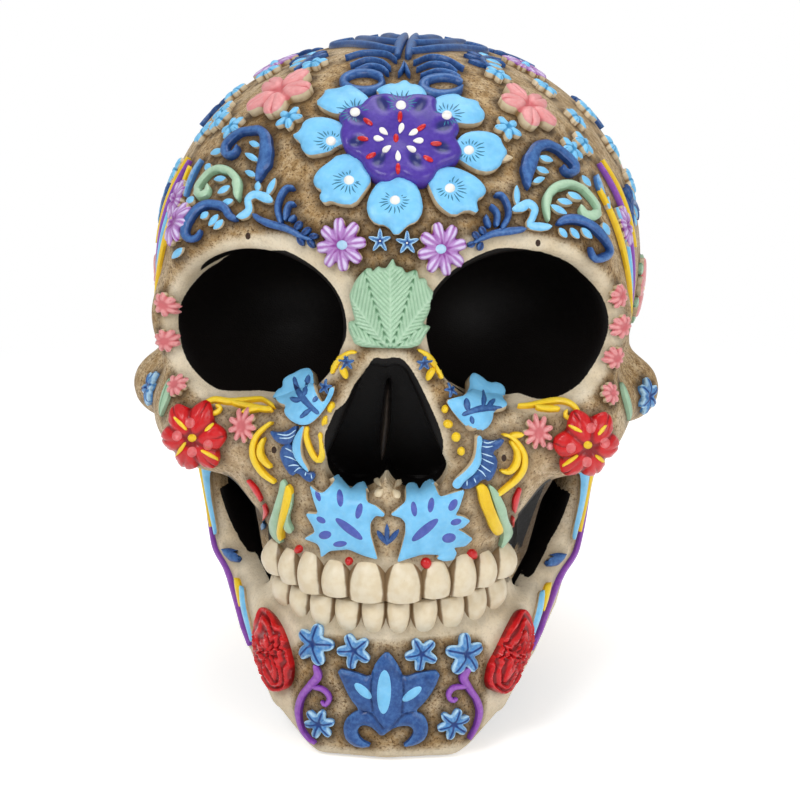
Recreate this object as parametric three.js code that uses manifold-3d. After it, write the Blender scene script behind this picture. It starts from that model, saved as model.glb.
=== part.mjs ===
// Sugar skull: a cast and painted skull figure with raised ornament seated on its bone.
// Millimetres, +Z up. The skull stands on Z = 0 and looks along -Y, and X = 0 is its mirror plane.
// Left and right are the viewer's, facing the skull: left is -X.

import * as THREE from "three";
import { mergeVertices } from "three/addons/utils/BufferGeometryUtils.js";
import Module from "manifold-3d";

const wasm = await Module();
wasm.setup();

// Heights: each rise is counted from the one before it
const BITE_Z = 45;
const LOWER_CROWN = 8.5;
const GUM_RISE = 11;
const NOSE_FLOOR_RISE = 18;
const NOSE_HEIGHT = 35;
const CHEEK_RISE = 11;
const ORBIT_RISE = 31;
const BROW_RISE = 23;
const VAULT_RISE = 41;
const JAW_TOP_Z = BITE_Z - LOWER_CROWN;
const GUM_Z = BITE_Z + GUM_RISE;
const NOSE_FLOOR_Z = GUM_Z + NOSE_FLOOR_RISE;
const NOSE_TOP_Z = NOSE_FLOOR_Z + NOSE_HEIGHT;
const CHEEK_Z = NOSE_FLOOR_Z + CHEEK_RISE;
const ORBIT_Z = CHEEK_Z + ORBIT_RISE;
const BROW_Z = ORBIT_Z + BROW_RISE;
const VAULT_TOP_Z = BROW_Z + VAULT_RISE;

// Braincase
const VAULT_HALF_WIDTH = 67.5;
const VAULT_HALF_LENGTH = 82.2;
const VAULT_HALF_HEIGHT = 64;
const VAULT_Y = 8;
const FOREHEAD_HALF_WIDTH = 55;
const FOREHEAD_DEPTH = 46;
const FOREHEAD_HALF_HEIGHT = 47;
const FOREHEAD_FRONT_Y = -81;
const FOREHEAD_Z = BROW_Z - 11;
const BOSS_X = 22;
const OCCIPUT_HALF_WIDTH = 54;
const OCCIPUT_DEPTH = 51;
const OCCIPUT_Y = 32;
const OCCIPUT_Z = 80;
const OCCIPUT_HALF_HEIGHT = 52;
const BASE_HALF_WIDTH = 46;
const BASE_DEPTH = 40;
const BASE_Y = 22;
const BASE_Z = 36;
const BASE_HALF_HEIGHT = 46;
const BONE_BLEND = 26;

// Face
const FACE_Y = -84;
const ORBIT_X = 31.7;
const ORBIT_HALF_WIDTH = 24.6;
const ORBIT_HALF_HEIGHT = 20;
const ORBIT_DEPTH = 29;
const ORBIT_TURN = 0.4;
const ORBIT_DROOP = 0.16;
const RIM_RADIUS = 6;
const CHEEK_X = 47;
const ARCH_HALF_WIDTH = 63.5;
const ARCH_RADIUS = 7;
const NOSE_HALF_WIDTH = 15.2;
const NOSE_DEPTH = 19;
const NOSE_SLOPE = 0.34;

// Jaw
const RAMUS_X = 50;

// Teeth
const TOOTH_THICKNESS = 8;
const UPPER_WIDTHS = [8.8, 7.4, 7.4, 7, 9];
const LOWER_WIDTHS = [6, 6.8, 7.4, 7.4, 9];
const ARCH_SEMI_X = 35;
const ARCH_SEMI_Y = 41;
const ARCH_SETBACK = 2;

// Ornament: how far the flat work, the petals and the upper rosette stand out
const RELIEF = 1.8;
const PETAL_RELIEF = 2.2;
const ROSETTE_RELIEF = 1.6;

// Ornament drawing: a sheet of 800 by 800 units, four to a millimetre at the face, seen by an eye
// in front of the skull. A drawn point lies where its sight line meets the bone.
const EYE_TURN = 2.5;
const EYE_RISE = 15;
const EYE_DISTANCE = 620;
const EYE_AIM = new THREE.Vector3(1.8, FACE_Y + 46, ORBIT_Z - 28.5);
const SHEET_MIDDLE = 400;
const SHEET_REACH = 2275;
// The drawing was made for a vault this far above the brow. Above its brow line it stretches with the vault.
const SHEET_BROW = 232;
const DRAWN_VAULT_RISE = 41;

// Fits: the gap under the ornament, wider where the bone curves more, and the gap round the jaw's joint
const SEAT_GAP = 0.3;
const PETAL_LIFT = 0.5;
const SCROLL_LIFT = 0.6;
const HOLLOW_LIFT = 0.8;
const JAW_CLEARANCE = 1;

// A field is a function of a point, negative inside the solid and in millimetres near its skin.
const smoothMin = (a, b, k) => {
  const h = Math.max(k - Math.abs(a - b), 0) / k;
  return Math.min(a, b) - (h * h * k) / 4;
};
const smoothMax = (a, b, k) => -smoothMin(-a, -b, k);

// An ellipsoid about a centre, turned about Z and then tipped in the front view.
function blob(x, y, z, [cx, cy, cz], [rx, ry, rz], turn = 0, tip = 0) {
  let u = x - cx;
  let v = y - cy;
  let w = z - cz;
  if (turn) {
    const c = Math.cos(turn);
    const s = Math.sin(turn);
    [u, v] = [c * u + s * v, c * v - s * u];
  }
  if (tip) {
    const c = Math.cos(tip);
    const s = Math.sin(tip);
    [u, w] = [c * u + s * w, c * w - s * u];
  }
  const near = Math.hypot(u / rx, v / ry, w / rz);
  const slope = Math.hypot(u / (rx * rx), v / (ry * ry), w / (rz * rz));
  return slope > 1e-9 ? (near * (near - 1)) / slope : -Math.min(rx, ry, rz);
}

// A round limb from a to b whose radius runs from ra to rb.
function limb(x, y, z, a, b, ra, rb = ra) {
  const d = [b[0] - a[0], b[1] - a[1], b[2] - a[2]];
  const along = (x - a[0]) * d[0] + (y - a[1]) * d[1] + (z - a[2]) * d[2];
  const t = Math.min(1, Math.max(0, along / (d[0] * d[0] + d[1] * d[1] + d[2] * d[2])));
  const gap = Math.hypot(x - a[0] - t * d[0], y - a[1] - t * d[1], z - a[2] - t * d[2]);
  return gap - (ra + (rb - ra) * t);
}

function craniumField(side, y, z) {
  const x = Math.abs(side);
  // Braincase: vault, forehead and the occiput that the skull stands on.
  let d = blob(x, y, z, [0, VAULT_Y, VAULT_TOP_Z - VAULT_HALF_HEIGHT],
    [VAULT_HALF_WIDTH, VAULT_HALF_LENGTH, VAULT_HALF_HEIGHT]);
  d = smoothMin(d, blob(x, y, z, [0, FOREHEAD_FRONT_Y + FOREHEAD_DEPTH, FOREHEAD_Z],
    [FOREHEAD_HALF_WIDTH, FOREHEAD_DEPTH, FOREHEAD_HALF_HEIGHT]), BONE_BLEND);
  d = smoothMin(d, blob(x, y, z, [0, OCCIPUT_Y, OCCIPUT_Z],
    [OCCIPUT_HALF_WIDTH, OCCIPUT_DEPTH, OCCIPUT_HALF_HEIGHT]), BONE_BLEND);
  d = smoothMin(d, blob(x, y, z, [0, BASE_Y, BASE_Z],
    [BASE_HALF_WIDTH, BASE_DEPTH, BASE_HALF_HEIGHT]), BONE_BLEND);
  d = smoothMin(d, blob(x, y, z, [BOSS_X, VAULT_Y + 5, VAULT_TOP_Z - 56], [39, 56, 42]), 16);
  // Temple, filled out behind the outer rim of the orbit.
  d = smoothMin(d, blob(x, y, z, [40, FACE_Y + 42, ORBIT_Z - 4], [17, 18, 26]), 12);
  // Brow, outer rim and cheekbone, which ring the orbit.
  const browOut = [46.5, FACE_Y + 21, BROW_Z - 3];
  const rimMiddle = [53, FACE_Y + 29, ORBIT_Z - 2];
  const cheek = [CHEEK_X, FACE_Y + 23, CHEEK_Z];
  let face = limb(x, y, z, [8, FACE_Y + 8, BROW_Z], browOut, 7, RIM_RADIUS);
  face = smoothMin(face, limb(x, y, z, browOut, rimMiddle, RIM_RADIUS), 8);
  face = smoothMin(face, limb(x, y, z, rimMiddle, [51, FACE_Y + 23, CHEEK_Z + 7], RIM_RADIUS), 8);
  face = smoothMin(face, blob(x, y, z, cheek, [10, 11, 10]), 10);
  const noseSide = [14, FACE_Y + 8, CHEEK_Z + 7];
  face = smoothMin(face, limb(x, y, z, noseSide, [CHEEK_X, FACE_Y + 20, CHEEK_Z + 3], 7, 7), 10);
  face = smoothMin(face, blob(x, y, z, [22, FACE_Y + 24, CHEEK_Z - 7], [19, 20, 17]), 10);
  // Upper jaw and nasal bones.
  face = smoothMin(face, blob(x, y, z, [0, FACE_Y + 24, NOSE_FLOOR_Z], [31, 25, 24]), 12);
  const ridge = (Math.hypot(x / 34, (y - FACE_Y - 41) / 40.5) - 1) * 34;
  const block = Math.abs(z - GUM_Z - 4) - 14;
  face = smoothMin(face, smoothMax(ridge, block, 5), 8);
  face = smoothMin(face, limb(x, y, z, [0, FACE_Y + 8, BROW_Z], [0, FACE_Y + 4, NOSE_TOP_Z + 5], 8, 7), 8);
  face = smoothMin(face, limb(x, y, z, [12, FACE_Y + 7, ORBIT_Z - 4], [16, FACE_Y + 6, CHEEK_Z + 7], 6), 8);
  d = smoothMin(d, face, 14);
  // Cheek arch running back to the ear.
  const archRoot = [CHEEK_X + 8, FACE_Y + 30, CHEEK_Z + 3];
  const archBow = [ARCH_HALF_WIDTH, FACE_Y + 56, CHEEK_Z + 4];
  const archEnd = [ARCH_HALF_WIDTH - 9, FACE_Y + 84, CHEEK_Z + 6];
  let arch = limb(x, y, z, archRoot, archBow, 6, ARCH_RADIUS);
  arch = smoothMin(arch, limb(x, y, z, archBow, archEnd, ARCH_RADIUS, 6), 8);
  arch = smoothMin(arch, limb(x, y, z, [50, FACE_Y + 36, CHEEK_Z + 2], [50, FACE_Y + 74, CHEEK_Z + 6], 9), 8);
  d = smoothMin(d, arch, 10);
  // Gum plane that the upper teeth hang from.
  d = smoothMax(d, Math.min(GUM_Z - z, FACE_Y + 66 - y), 3);
  // Orbits and the pear of the nose.
  d = smoothMax(d, -blob(x, y, z, [ORBIT_X, FACE_Y + 14, ORBIT_Z],
    [ORBIT_HALF_WIDTH, ORBIT_DEPTH, ORBIT_HALF_HEIGHT], ORBIT_TURN, -ORBIT_DROOP), 7);
  const wing = NOSE_HALF_WIDTH / 2;
  const nose = limb(x, 0, z, [wing, 0, NOSE_FLOOR_Z + wing], [2.4, 0, NOSE_TOP_Z - 3], wing + 0.3, 3);
  const noseBack = FACE_Y + NOSE_DEPTH - NOSE_SLOPE * (z - NOSE_FLOOR_Z);
  d = smoothMax(d, -Math.max(nose, y - noseBack), 5);
  return d;
}

// The jaw's body: stations of a curved wall from the chin to the corner, with half thickness,
// lower edge and upper edge at each.
const JAW_STATIONS = [
  { x: 0, y: 9, half: 8, low: -3, high: JAW_TOP_Z },
  { x: 15, y: 11, half: 7.6, low: -3, high: JAW_TOP_Z },
  { x: 27, y: 20, half: 6.4, low: 8, high: JAW_TOP_Z },
  { x: 35, y: 34, half: 5.6, low: 18, high: JAW_TOP_Z + 2 },
  { x: 41, y: 48, half: 5, low: 26, high: JAW_TOP_Z + 10 },
  { x: 45, y: 62, half: 4.6, low: 34, high: JAW_TOP_Z + 18 },
];

function mandibleField(side, y, z) {
  const x = Math.abs(side);
  let gap = Infinity;
  let here = JAW_STATIONS[0];
  for (let i = 0; i + 1 < JAW_STATIONS.length; i++) {
    const a = JAW_STATIONS[i];
    const b = JAW_STATIONS[i + 1];
    const dx = b.x - a.x;
    const dy = b.y - a.y;
    const along = (x - a.x) * dx + (y - FACE_Y - a.y) * dy;
    const t = Math.min(1, Math.max(0, along / (dx * dx + dy * dy)));
    const far = Math.hypot(x - a.x - t * dx, y - FACE_Y - a.y - t * dy);
    if (far >= gap) continue;
    gap = far;
    const mix = (key) => a[key] + t * (b[key] - a[key]);
    here = { half: mix("half"), low: mix("low"), high: mix("high") };
  }
  const tall = (here.high - here.low) / 2;
  const across = gap / here.half;
  const up = Math.abs(z - (here.high + here.low) / 2) / tall;
  const near = (across ** 3 + up ** 3) ** (1 / 3);
  let d = (near - 1) * Math.min(here.half, tall);
  // Ramus: a flat limb, leaning out, from the corner up to the joint under the cheek arch.
  const flat = 0.42;
  const deep = (v) => (v - (FACE_Y + 60)) * flat;
  const foot = [RAMUS_X - 4, 0, BITE_Z - 1];
  const head = [RAMUS_X + 3, deep(FACE_Y + 66), CHEEK_Z - 9];
  d = smoothMin(d, limb(x, deep(y), z, foot, head, 4.6, 4.2), 6);
  return d;
}

// Grid lines through stretches that follow each other, each with its limits and its step.
function lines(stretches) {
  const found = [];
  for (const [from, to, step] of stretches) {
    const count = Math.max(1, Math.round((to - from) / step));
    for (let i = found.length ? 1 : 0; i <= count; i++) found.push(from + ((to - from) * i) / count);
  }
  return found;
}

function gradient(field, p) {
  const e = 0.05;
  const [x, y, z] = p;
  return [
    (field(x + e, y, z) - field(x - e, y, z)) / (2 * e),
    (field(x, y + e, z) - field(x, y - e, z)) / (2 * e),
    (field(x, y, z + e) - field(x, y, z - e)) / (2 * e),
  ];
}

// Moves a point along the field's slope until the field there is the wanted level.
function settle(field, p, level = 0, rounds = 8, most = 2.5) {
  const q = [...p];
  for (let i = 0; i < rounds; i++) {
    const g = gradient(field, q);
    const slope = g[0] * g[0] + g[1] * g[1] + g[2] * g[2];
    if (slope < 1e-6) break;
    const off = (field(...q) - level) / slope;
    const size = Math.abs(off) * Math.sqrt(slope);
    const ease = size > most ? most / size : 1;
    for (let k = 0; k < 3; k++) q[k] -= off * ease * g[k];
  }
  return q;
}

// The closed skin of a field on a grid: one vertex in each cell that the skin crosses, and one
// quad across each grid edge that it cuts.
function skin(field, xs, ys, zs) {
  const [nx, ny, nz] = [xs.length, ys.length, zs.length];
  const at = (i, j, k) => (k * ny + j) * nx + i;
  const value = new Float64Array(nx * ny * nz);
  for (let k = 0; k < nz; k++)
    for (let j = 0; j < ny; j++)
      for (let i = 0; i < nx; i++) value[at(i, j, k)] = field(xs[i], ys[j], zs[k]);
  const points = [];
  const cell = new Map();
  for (let k = 0; k + 1 < nz; k++)
    for (let j = 0; j + 1 < ny; j++)
      for (let i = 0; i + 1 < nx; i++) {
        const sum = [0, 0, 0];
        let cuts = 0;
        for (let axis = 0; axis < 3; axis++)
          for (let n = 0; n < 4; n++) {
            const a = [i, j, k];
            a[(axis + 1) % 3] += n & 1;
            a[(axis + 2) % 3] += n >> 1;
            const b = [...a];
            b[axis] += 1;
            const va = value[at(...a)];
            const vb = value[at(...b)];
            if (va < 0 === vb < 0) continue;
            const t = va / (va - vb);
            for (let m = 0; m < 3; m++) {
              const grid = [xs, ys, zs][m];
              sum[m] += grid[a[m]] + t * (grid[b[m]] - grid[a[m]]);
            }
            cuts++;
          }
        if (!cuts) continue;
        cell.set(at(i, j, k), points.length / 3);
        points.push(...settle(field, sum.map((s) => s / cuts), 0, 4, 1.2));
      }
  const index = [];
  const steps = [[1, 0, 0], [0, 1, 0], [0, 0, 1]];
  for (let k = 0; k + 1 < nz; k++)
    for (let j = 0; j + 1 < ny; j++)
      for (let i = 0; i + 1 < nx; i++)
        steps.forEach((step, axis) => {
          const inside = value[at(i, j, k)] < 0;
          if (inside === value[at(i + step[0], j + step[1], k + step[2])] < 0) return;
          const u = steps[(axis + 1) % 3];
          const v = steps[(axis + 2) % 3];
          const corner = (a, b) => cell.get(at(...[i, j, k].map((n, m) => n - a * u[m] - b * v[m])));
          const quad = [corner(0, 0), corner(1, 0), corner(1, 1), corner(0, 1)];
          if (!inside) quad.reverse();
          // The quad folds along the diagonal that lies closer to the skin.
          const middle = (a, b) => [0, 1, 2].map((m) => (points[3 * a + m] + points[3 * b + m]) / 2);
          const off = (a, b) => Math.abs(field(...middle(a, b)));
          const first = off(quad[0], quad[2]) <= off(quad[1], quad[3]) ? 0 : 1;
          for (const turn of [0, 2]) {
            index.push(...[0, 1, 2].map((m) => quad[(first + turn + m) % 4]));
          }
        });
  const geometry = new THREE.BufferGeometry();
  geometry.setAttribute("position", new THREE.Float32BufferAttribute(points, 3));
  geometry.setIndex(index);
  return geometry;
}

// Booleans
function solidOf(geometry) {
  const bare = geometry.clone();
  bare.deleteAttribute("normal");
  bare.deleteAttribute("uv");
  const merged = mergeVertices(bare, 1e-4);
  return new wasm.Manifold(new wasm.Mesh({
    numProp: 3,
    vertProperties: merged.attributes.position.array,
    triVerts: new Uint32Array(merged.index.array),
  }));
}

function geometryOf(solid) {
  const mesh = solid.getMesh();
  const geometry = new THREE.BufferGeometry();
  geometry.setAttribute("position", new THREE.BufferAttribute(new Float32Array(mesh.vertProperties), 3));
  geometry.setIndex(new THREE.BufferAttribute(new Uint32Array(mesh.triVerts), 1));
  return geometry;
}

// Faces that lie within this of each other's plane are joined, mm.
const FLAT_WITHIN = 0.15;

// The ground under the skull, which cuts its feet flat.
function ground() {
  const side = 400;
  return solidOf(new THREE.BoxGeometry(side, side, side).translate(0, 0, -side / 2));
}

const paint = (color, roughness) => new THREE.MeshStandardMaterial({ color, roughness, metalness: 0 });
const bone = paint("#d8c39c", 0.6);
const ivory = paint("#e6d6b8", 0.45);
const skyBlue = paint("#7cc6f2", 0.4);
const deepBlue = paint("#2c56a0", 0.4);
const violet = paint("#5a3fae", 0.4);
const lilac = paint("#b06fb8", 0.4);
const mint = paint("#aee0b6", 0.4);
const yellow = paint("#f2c81e", 0.4);
const red = paint("#d51f24", 0.35);
const pink = paint("#ec8a94", 0.4);

const skull = new THREE.Group();

function add(name, geometry, material) {
  const mesh = new THREE.Mesh(geometry, material);
  mesh.name = name;
  skull.add(mesh);
  return mesh;
}

// Grids: fine over the face, coarse over the vault and the base, and past the skin all round.
// Blended forms swell a little past the largest of them.
const GRID_MARGIN = 8;
const BLEND_SWELL = 12;
const gridSide = Math.max(VAULT_HALF_WIDTH, FOREHEAD_HALF_WIDTH, OCCIPUT_HALF_WIDTH, BASE_HALF_WIDTH,
  ARCH_HALF_WIDTH + ARCH_RADIUS) + GRID_MARGIN;
const gridFront = Math.min(FACE_Y, FOREHEAD_FRONT_Y, VAULT_Y - VAULT_HALF_LENGTH) - BLEND_SWELL;
const gridBack = Math.max(VAULT_Y + VAULT_HALF_LENGTH, OCCIPUT_Y + OCCIPUT_DEPTH, BASE_Y + BASE_DEPTH)
  + GRID_MARGIN;
const gridTop = Math.max(VAULT_TOP_Z, FOREHEAD_Z + FOREHEAD_HALF_HEIGHT, OCCIPUT_Z + OCCIPUT_HALF_HEIGHT)
  + BLEND_SWELL;
const craniumGrid = [
  lines([[-gridSide, gridSide, 6.3]]),
  lines([[gridFront, FACE_Y + 36, 5.2], [FACE_Y + 36, gridBack, 13.5]]),
  lines([[-GRID_MARGIN, GUM_Z - 7, 12], [GUM_Z - 7, BROW_Z + 9, 6.2], [BROW_Z + 9, gridTop, 10]]),
];

const jawField = (x, y, z) => smoothMax(mandibleField(x, y, z), JAW_CLEARANCE - craniumField(x, y, z), 2);
const jawGrid = [
  lines([[-RAMUS_X - 12, RAMUS_X + 12, 4.6]]),
  lines([[FACE_Y - 10, FACE_Y + 90, 4.8]]),
  lines([[-GRID_MARGIN, CHEEK_Z + 3, 4.8]]),
];
const jaw = solidOf(skin(jawField, ...jawGrid)).subtract(ground());
add("mandible", geometryOf(jaw.asOriginal().simplify(FLAT_WITHIN)), bone);

// A tooth: a rounded block with a crown that narrows to the neck.
function toothGeometry(width, height, thickness) {
  const geometry = new THREE.SphereGeometry(1, 8, 6);
  const position = geometry.attributes.position;
  const blunt = (v) => Math.sign(v) * Math.abs(v) ** 0.42;
  for (let i = 0; i < position.count; i++) {
    const x = blunt(position.getX(i));
    const y = -blunt(position.getZ(i));
    const z = blunt(position.getY(i));
    position.setXYZ(i, (x * width) / 2, (y * thickness) / 2, (z * height) / 2);
  }
  return geometry;
}

// A row of teeth on an elliptical arch, from the middle out to both sides.
function toothRow(name, widths, topZ, bottomZ, inset) {
  const ax = ARCH_SEMI_X - inset;
  const ay = ARCH_SEMI_Y - inset;
  for (const side of [-1, 1]) {
    let angle = 0;
    widths.forEach((width, n) => {
      const step = width / 2 / Math.hypot(ax * Math.cos(angle), ay * Math.sin(angle));
      angle += step;
      const tooth = add(`${name}_${side < 0 ? "left" : "right"}_${n + 1}`,
        toothGeometry(width - SEAT_GAP, topZ - bottomZ, TOOTH_THICKNESS), ivory);
      const y = FACE_Y + ARCH_SEMI_Y + ARCH_SETBACK - ay * Math.cos(angle);
      tooth.position.set(side * ax * Math.sin(angle), y, (topZ + bottomZ) / 2);
      tooth.rotation.z = side * Math.atan2(ay * Math.sin(angle), ax * Math.cos(angle));
      angle += width / 2 / Math.hypot(ax * Math.cos(angle), ay * Math.sin(angle));
    });
  }
}
toothRow("upper_tooth", UPPER_WIDTHS, GUM_Z - SEAT_GAP, BITE_Z, 0);
toothRow("lower_tooth", LOWER_WIDTHS, BITE_Z - SEAT_GAP, JAW_TOP_Z + SEAT_GAP, 3);

// Where the sight line of a drawn point meets the field.
const eyeBack = new THREE.Vector3(0, 0, 1).applyEuler(
  new THREE.Euler(THREE.MathUtils.degToRad(90 - EYE_RISE), 0, THREE.MathUtils.degToRad(EYE_TURN), "ZXY"));
const eyeRight = new THREE.Vector3(0, 0, 1).cross(eyeBack).normalize();
const eyeUp = eyeBack.clone().cross(eyeRight);
const eye = EYE_AIM.clone().addScaledVector(eyeBack, EYE_DISTANCE);
const stretch = (VAULT_TOP_Z - BROW_Z) / DRAWN_VAULT_RISE;
function drawn(field, [sheetX, sheetY]) {
  const down = sheetY < SHEET_BROW ? SHEET_BROW - (SHEET_BROW - sheetY) * stretch : sheetY;
  const sight = eyeBack.clone().multiplyScalar(-SHEET_REACH)
    .addScaledVector(eyeRight, sheetX - SHEET_MIDDLE)
    .addScaledVector(eyeUp, SHEET_MIDDLE - down)
    .normalize();
  const spot = eye.clone().addScaledVector(sight, EYE_DISTANCE - 120);
  for (let i = 0; i < 400; i++) {
    const off = field(spot.x, spot.y, spot.z);
    if (off < 0.02) break;
    spot.addScaledVector(sight, Math.min(off * 0.6, 6));
  }
  return settle(field, spot.toArray());
}

// Ornament above the brow gets smaller with a lower vault.
const fitAt = ([, sheetY]) => (sheetY < SHEET_BROW ? Math.min(1, stretch) : 1);

const vector = (p) => new THREE.Vector3(...p);

// A closed shell on the bone from a plan: points near the skin, each with its height, the
// triangles between them and the loop of points round the edge.
function shell(field, { points, heights, triangles, loop }, lift) {
  const count = points.length;
  const floor = points.map((p) => settle(field, p, lift, 10));
  const roof = points.map((p, i) => settle(field, p, lift + heights[i], 10));
  const index = [];
  for (const [a, b, c] of triangles) index.push(a + count, b + count, c + count, a, c, b);
  loop.forEach((a, i) => {
    const b = loop[(i + 1) % loop.length];
    index.push(a, b, b + count, a, b + count, a + count);
  });
  const flat = [...floor, ...roof].flat();
  let volume = 0;
  for (let i = 0; i < index.length; i += 3) {
    const [a, b, c] = [0, 1, 2].map((k) => vector(flat.slice(3 * index[i + k], 3 * index[i + k] + 3)));
    volume += a.dot(b.cross(c));
  }
  const geometry = new THREE.BufferGeometry();
  geometry.setAttribute("position", new THREE.Float32BufferAttribute(flat, 3));
  geometry.setIndex(volume > 0 ? index : index.reverse());
  return geometry;
}

// A flower pad about a drawn centre: its outline is a radius for each turn, crowned in the middle.
function pad(field, centre, radius, options = {}) {
  const { edges = 20, rings = [0.55, 1], relief = RELIEF, lift = SEAT_GAP, turn = 0 } = options;
  const spot = drawn(field, centre);
  const out = vector(gradient(field, spot)).normalize();
  const across = new THREE.Vector3(0, 0, 1).cross(out).normalize();
  const up = out.clone().cross(across);
  const points = [spot];
  const heights = [relief];
  const triangles = [];
  rings.forEach((ring, n) => {
    for (let i = 0; i < edges; i++) {
      const angle = (2 * Math.PI * i) / edges;
      const reach = ring * radius(angle) * fitAt(centre);
      const here = vector(spot).addScaledVector(across, reach * Math.cos(angle + turn))
        .addScaledVector(up, reach * Math.sin(angle + turn));
      points.push(here.toArray());
      heights.push(relief * (1 - 0.2 * ring * ring));
      const a = 1 + n * edges + i;
      const b = 1 + n * edges + ((i + 1) % edges);
      if (n === 0) triangles.push([0, a, b]);
      else triangles.push([a - edges, a, b], [a - edges, b, b - edges]);
    }
  });
  const last = 1 + (rings.length - 1) * edges;
  const loop = Array.from({ length: edges }, (_, i) => last + i);
  return shell(field, { points, heights, triangles, loop }, lift);
}

// A ribbon along drawn points, with the half width to its left and right as functions of the way along.
function ribbon(field, path, left, right = left, { relief = RELIEF, lift = SEAT_GAP } = {}) {
  const stations = 2 * (path.length - 1);
  const fit = fitAt(path[0]);
  const curve = new THREE.CatmullRomCurve3(path.map((p) => vector(drawn(field, p))), false, "centripetal");
  const points = [];
  const heights = [];
  const triangles = [];
  for (let i = 0; i <= stations; i++) {
    const t = i / stations;
    const spot = settle(field, curve.getPointAt(t).toArray());
    const side = vector(gradient(field, spot)).cross(curve.getTangentAt(t)).normalize();
    points.push(vector(spot).addScaledVector(side, left(t) * fit).toArray(), spot);
    points.push(vector(spot).addScaledVector(side, -right(t) * fit).toArray());
    heights.push(relief * 0.85, relief, relief * 0.85);
    if (i === 0) continue;
    const a = 3 * i;
    for (const k of [0, 1]) triangles.push([a - 3 + k, a + k, a + k + 1], [a - 3 + k, a + k + 1, a - 2 + k]);
  }
  const loop = [];
  for (let i = 0; i <= stations; i++) loop.push(3 * i);
  loop.push(3 * stations + 1);
  for (let i = stations; i >= 0; i--) loop.push(3 * i + 2);
  loop.push(1);
  // The left edge runs forward and the right edge back, which is clockwise from outside.
  const turned = triangles.map(([a, b, c]) => [a, c, b]);
  return shell(field, { points, heights, triangles: turned, loop: loop.reverse() }, lift);
}

// Outlines: round-petalled, pointed and plain
const petals = (count, radius, notch) => (angle) =>
  radius * (1 - notch + notch * Math.abs(Math.cos((count * angle) / 2)) ** 0.6);
const spikes = (count, radius, notch) => (angle) =>
  radius * (1 - notch * Math.abs(Math.sin((count * angle) / 2)) ** 0.8);
const taper = (width, from = 0.3, to = 0.3) => (t) => width * Math.min(1, from + 3 * t, to + 3 * (1 - t));

// The smallest flowers are cast in one with the cranium: petals, radius, and drawn centres on
// the vault and the rims
const CAST_DEPTH = 1;
const CAST_FLOWERS = [
  { petalCount: 5, radius: 3.4, notch: 0.5, relief: 2.3, centres: [
    [270, 76], [237, 96], [223, 123], [235, 130], [291, 121], [200, 130], [180, 172], [315, 68],
    [543, 91], [506, 131], [573, 121], [580, 146], [608, 148], [626, 182], [496, 78],
  ] },
  { petalCount: 4, radius: 3.9, notch: 0.12, relief: 1.6, centres: [
    [166, 306], [166, 345], [178, 388], [617, 296], [620, 326], [613, 357], [608, 394], [244, 426],
    [537, 432],
  ] },
];
let cranium = solidOf(skin(craniumField, ...craniumGrid)).subtract(ground());
for (const { petalCount, radius, notch, relief, centres } of CAST_FLOWERS) {
  for (const centre of centres) {
    const flower = pad(craniumField, centre, petals(petalCount, radius, notch),
      { edges: 2 * petalCount, rings: [1], relief: relief + CAST_DEPTH, lift: -CAST_DEPTH });
    cranium = cranium.add(solidOf(flower));
  }
}
add("cranium", geometryOf(cranium.asOriginal().simplify(FLAT_WITHIN)), bone);

// Forehead: the rosette sits on the petals
const ROSETTE_LIFT = PETAL_LIFT + PETAL_RELIEF + SEAT_GAP;
add("forehead_petals", pad(craniumField, [402, 147], petals(8, 25, 0.3),
  { edges: 48, rings: [0.35, 0.7, 1], relief: PETAL_RELIEF, lift: PETAL_LIFT }), skyBlue);
add("forehead_rosette", pad(craniumField, [402, 147], petals(8, 14.5, 0.14),
  { edges: 32, relief: ROSETTE_RELIEF, lift: ROSETTE_LIFT, turn: Math.PI / 8 }), violet);
add("nose_leaf", ribbon(craniumField, [[390, 344], [390, 320], [390, 292], [390, 266]],
  (t) => 9.5 * Math.sin(Math.PI * (0.14 + 0.76 * t)) ** 0.7, undefined, { lift: HOLLOW_LIFT }), mint);

// Flowers and leaves in pairs: name, bone, drawn centres at the left and the right, outline, paint and lift
const SIDES = ["left", "right"];
const FACE_PADS = [
  ["pink_blossom", craniumField, [[283, 98], [524, 109]], petals(5, 10, 0.26), pink, SEAT_GAP],
  ["brow_daisy", craniumField, [[341, 245], [440, 249]], petals(8, 6.2, 0.16), lilac, SEAT_GAP],
  ["cheek_blossom", craniumField, [[304, 400], [478, 404]], petals(5, 6.6, 0.24), skyBlue, HOLLOW_LIFT],
  ["cheek_rose", craniumField, [[194, 437], [586, 446]], petals(6, 8.6, 0.16), red, HOLLOW_LIFT],
  ["lip_leaf", craniumField, [[346, 520], [432, 522]], spikes(8, 9.4, 0.42), skyBlue, SEAT_GAP],
  ["jaw_flower", mandibleField, [[314, 652], [465, 656]], petals(5, 4.2, 0.4), skyBlue, SEAT_GAP],
];
for (const [name, field, centres, outline, material, lift] of FACE_PADS) {
  SIDES.forEach((side, n) => {
    add(`${name}_${side}`, pad(field, centres[n], outline, { lift }), material);
  });
}

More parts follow.
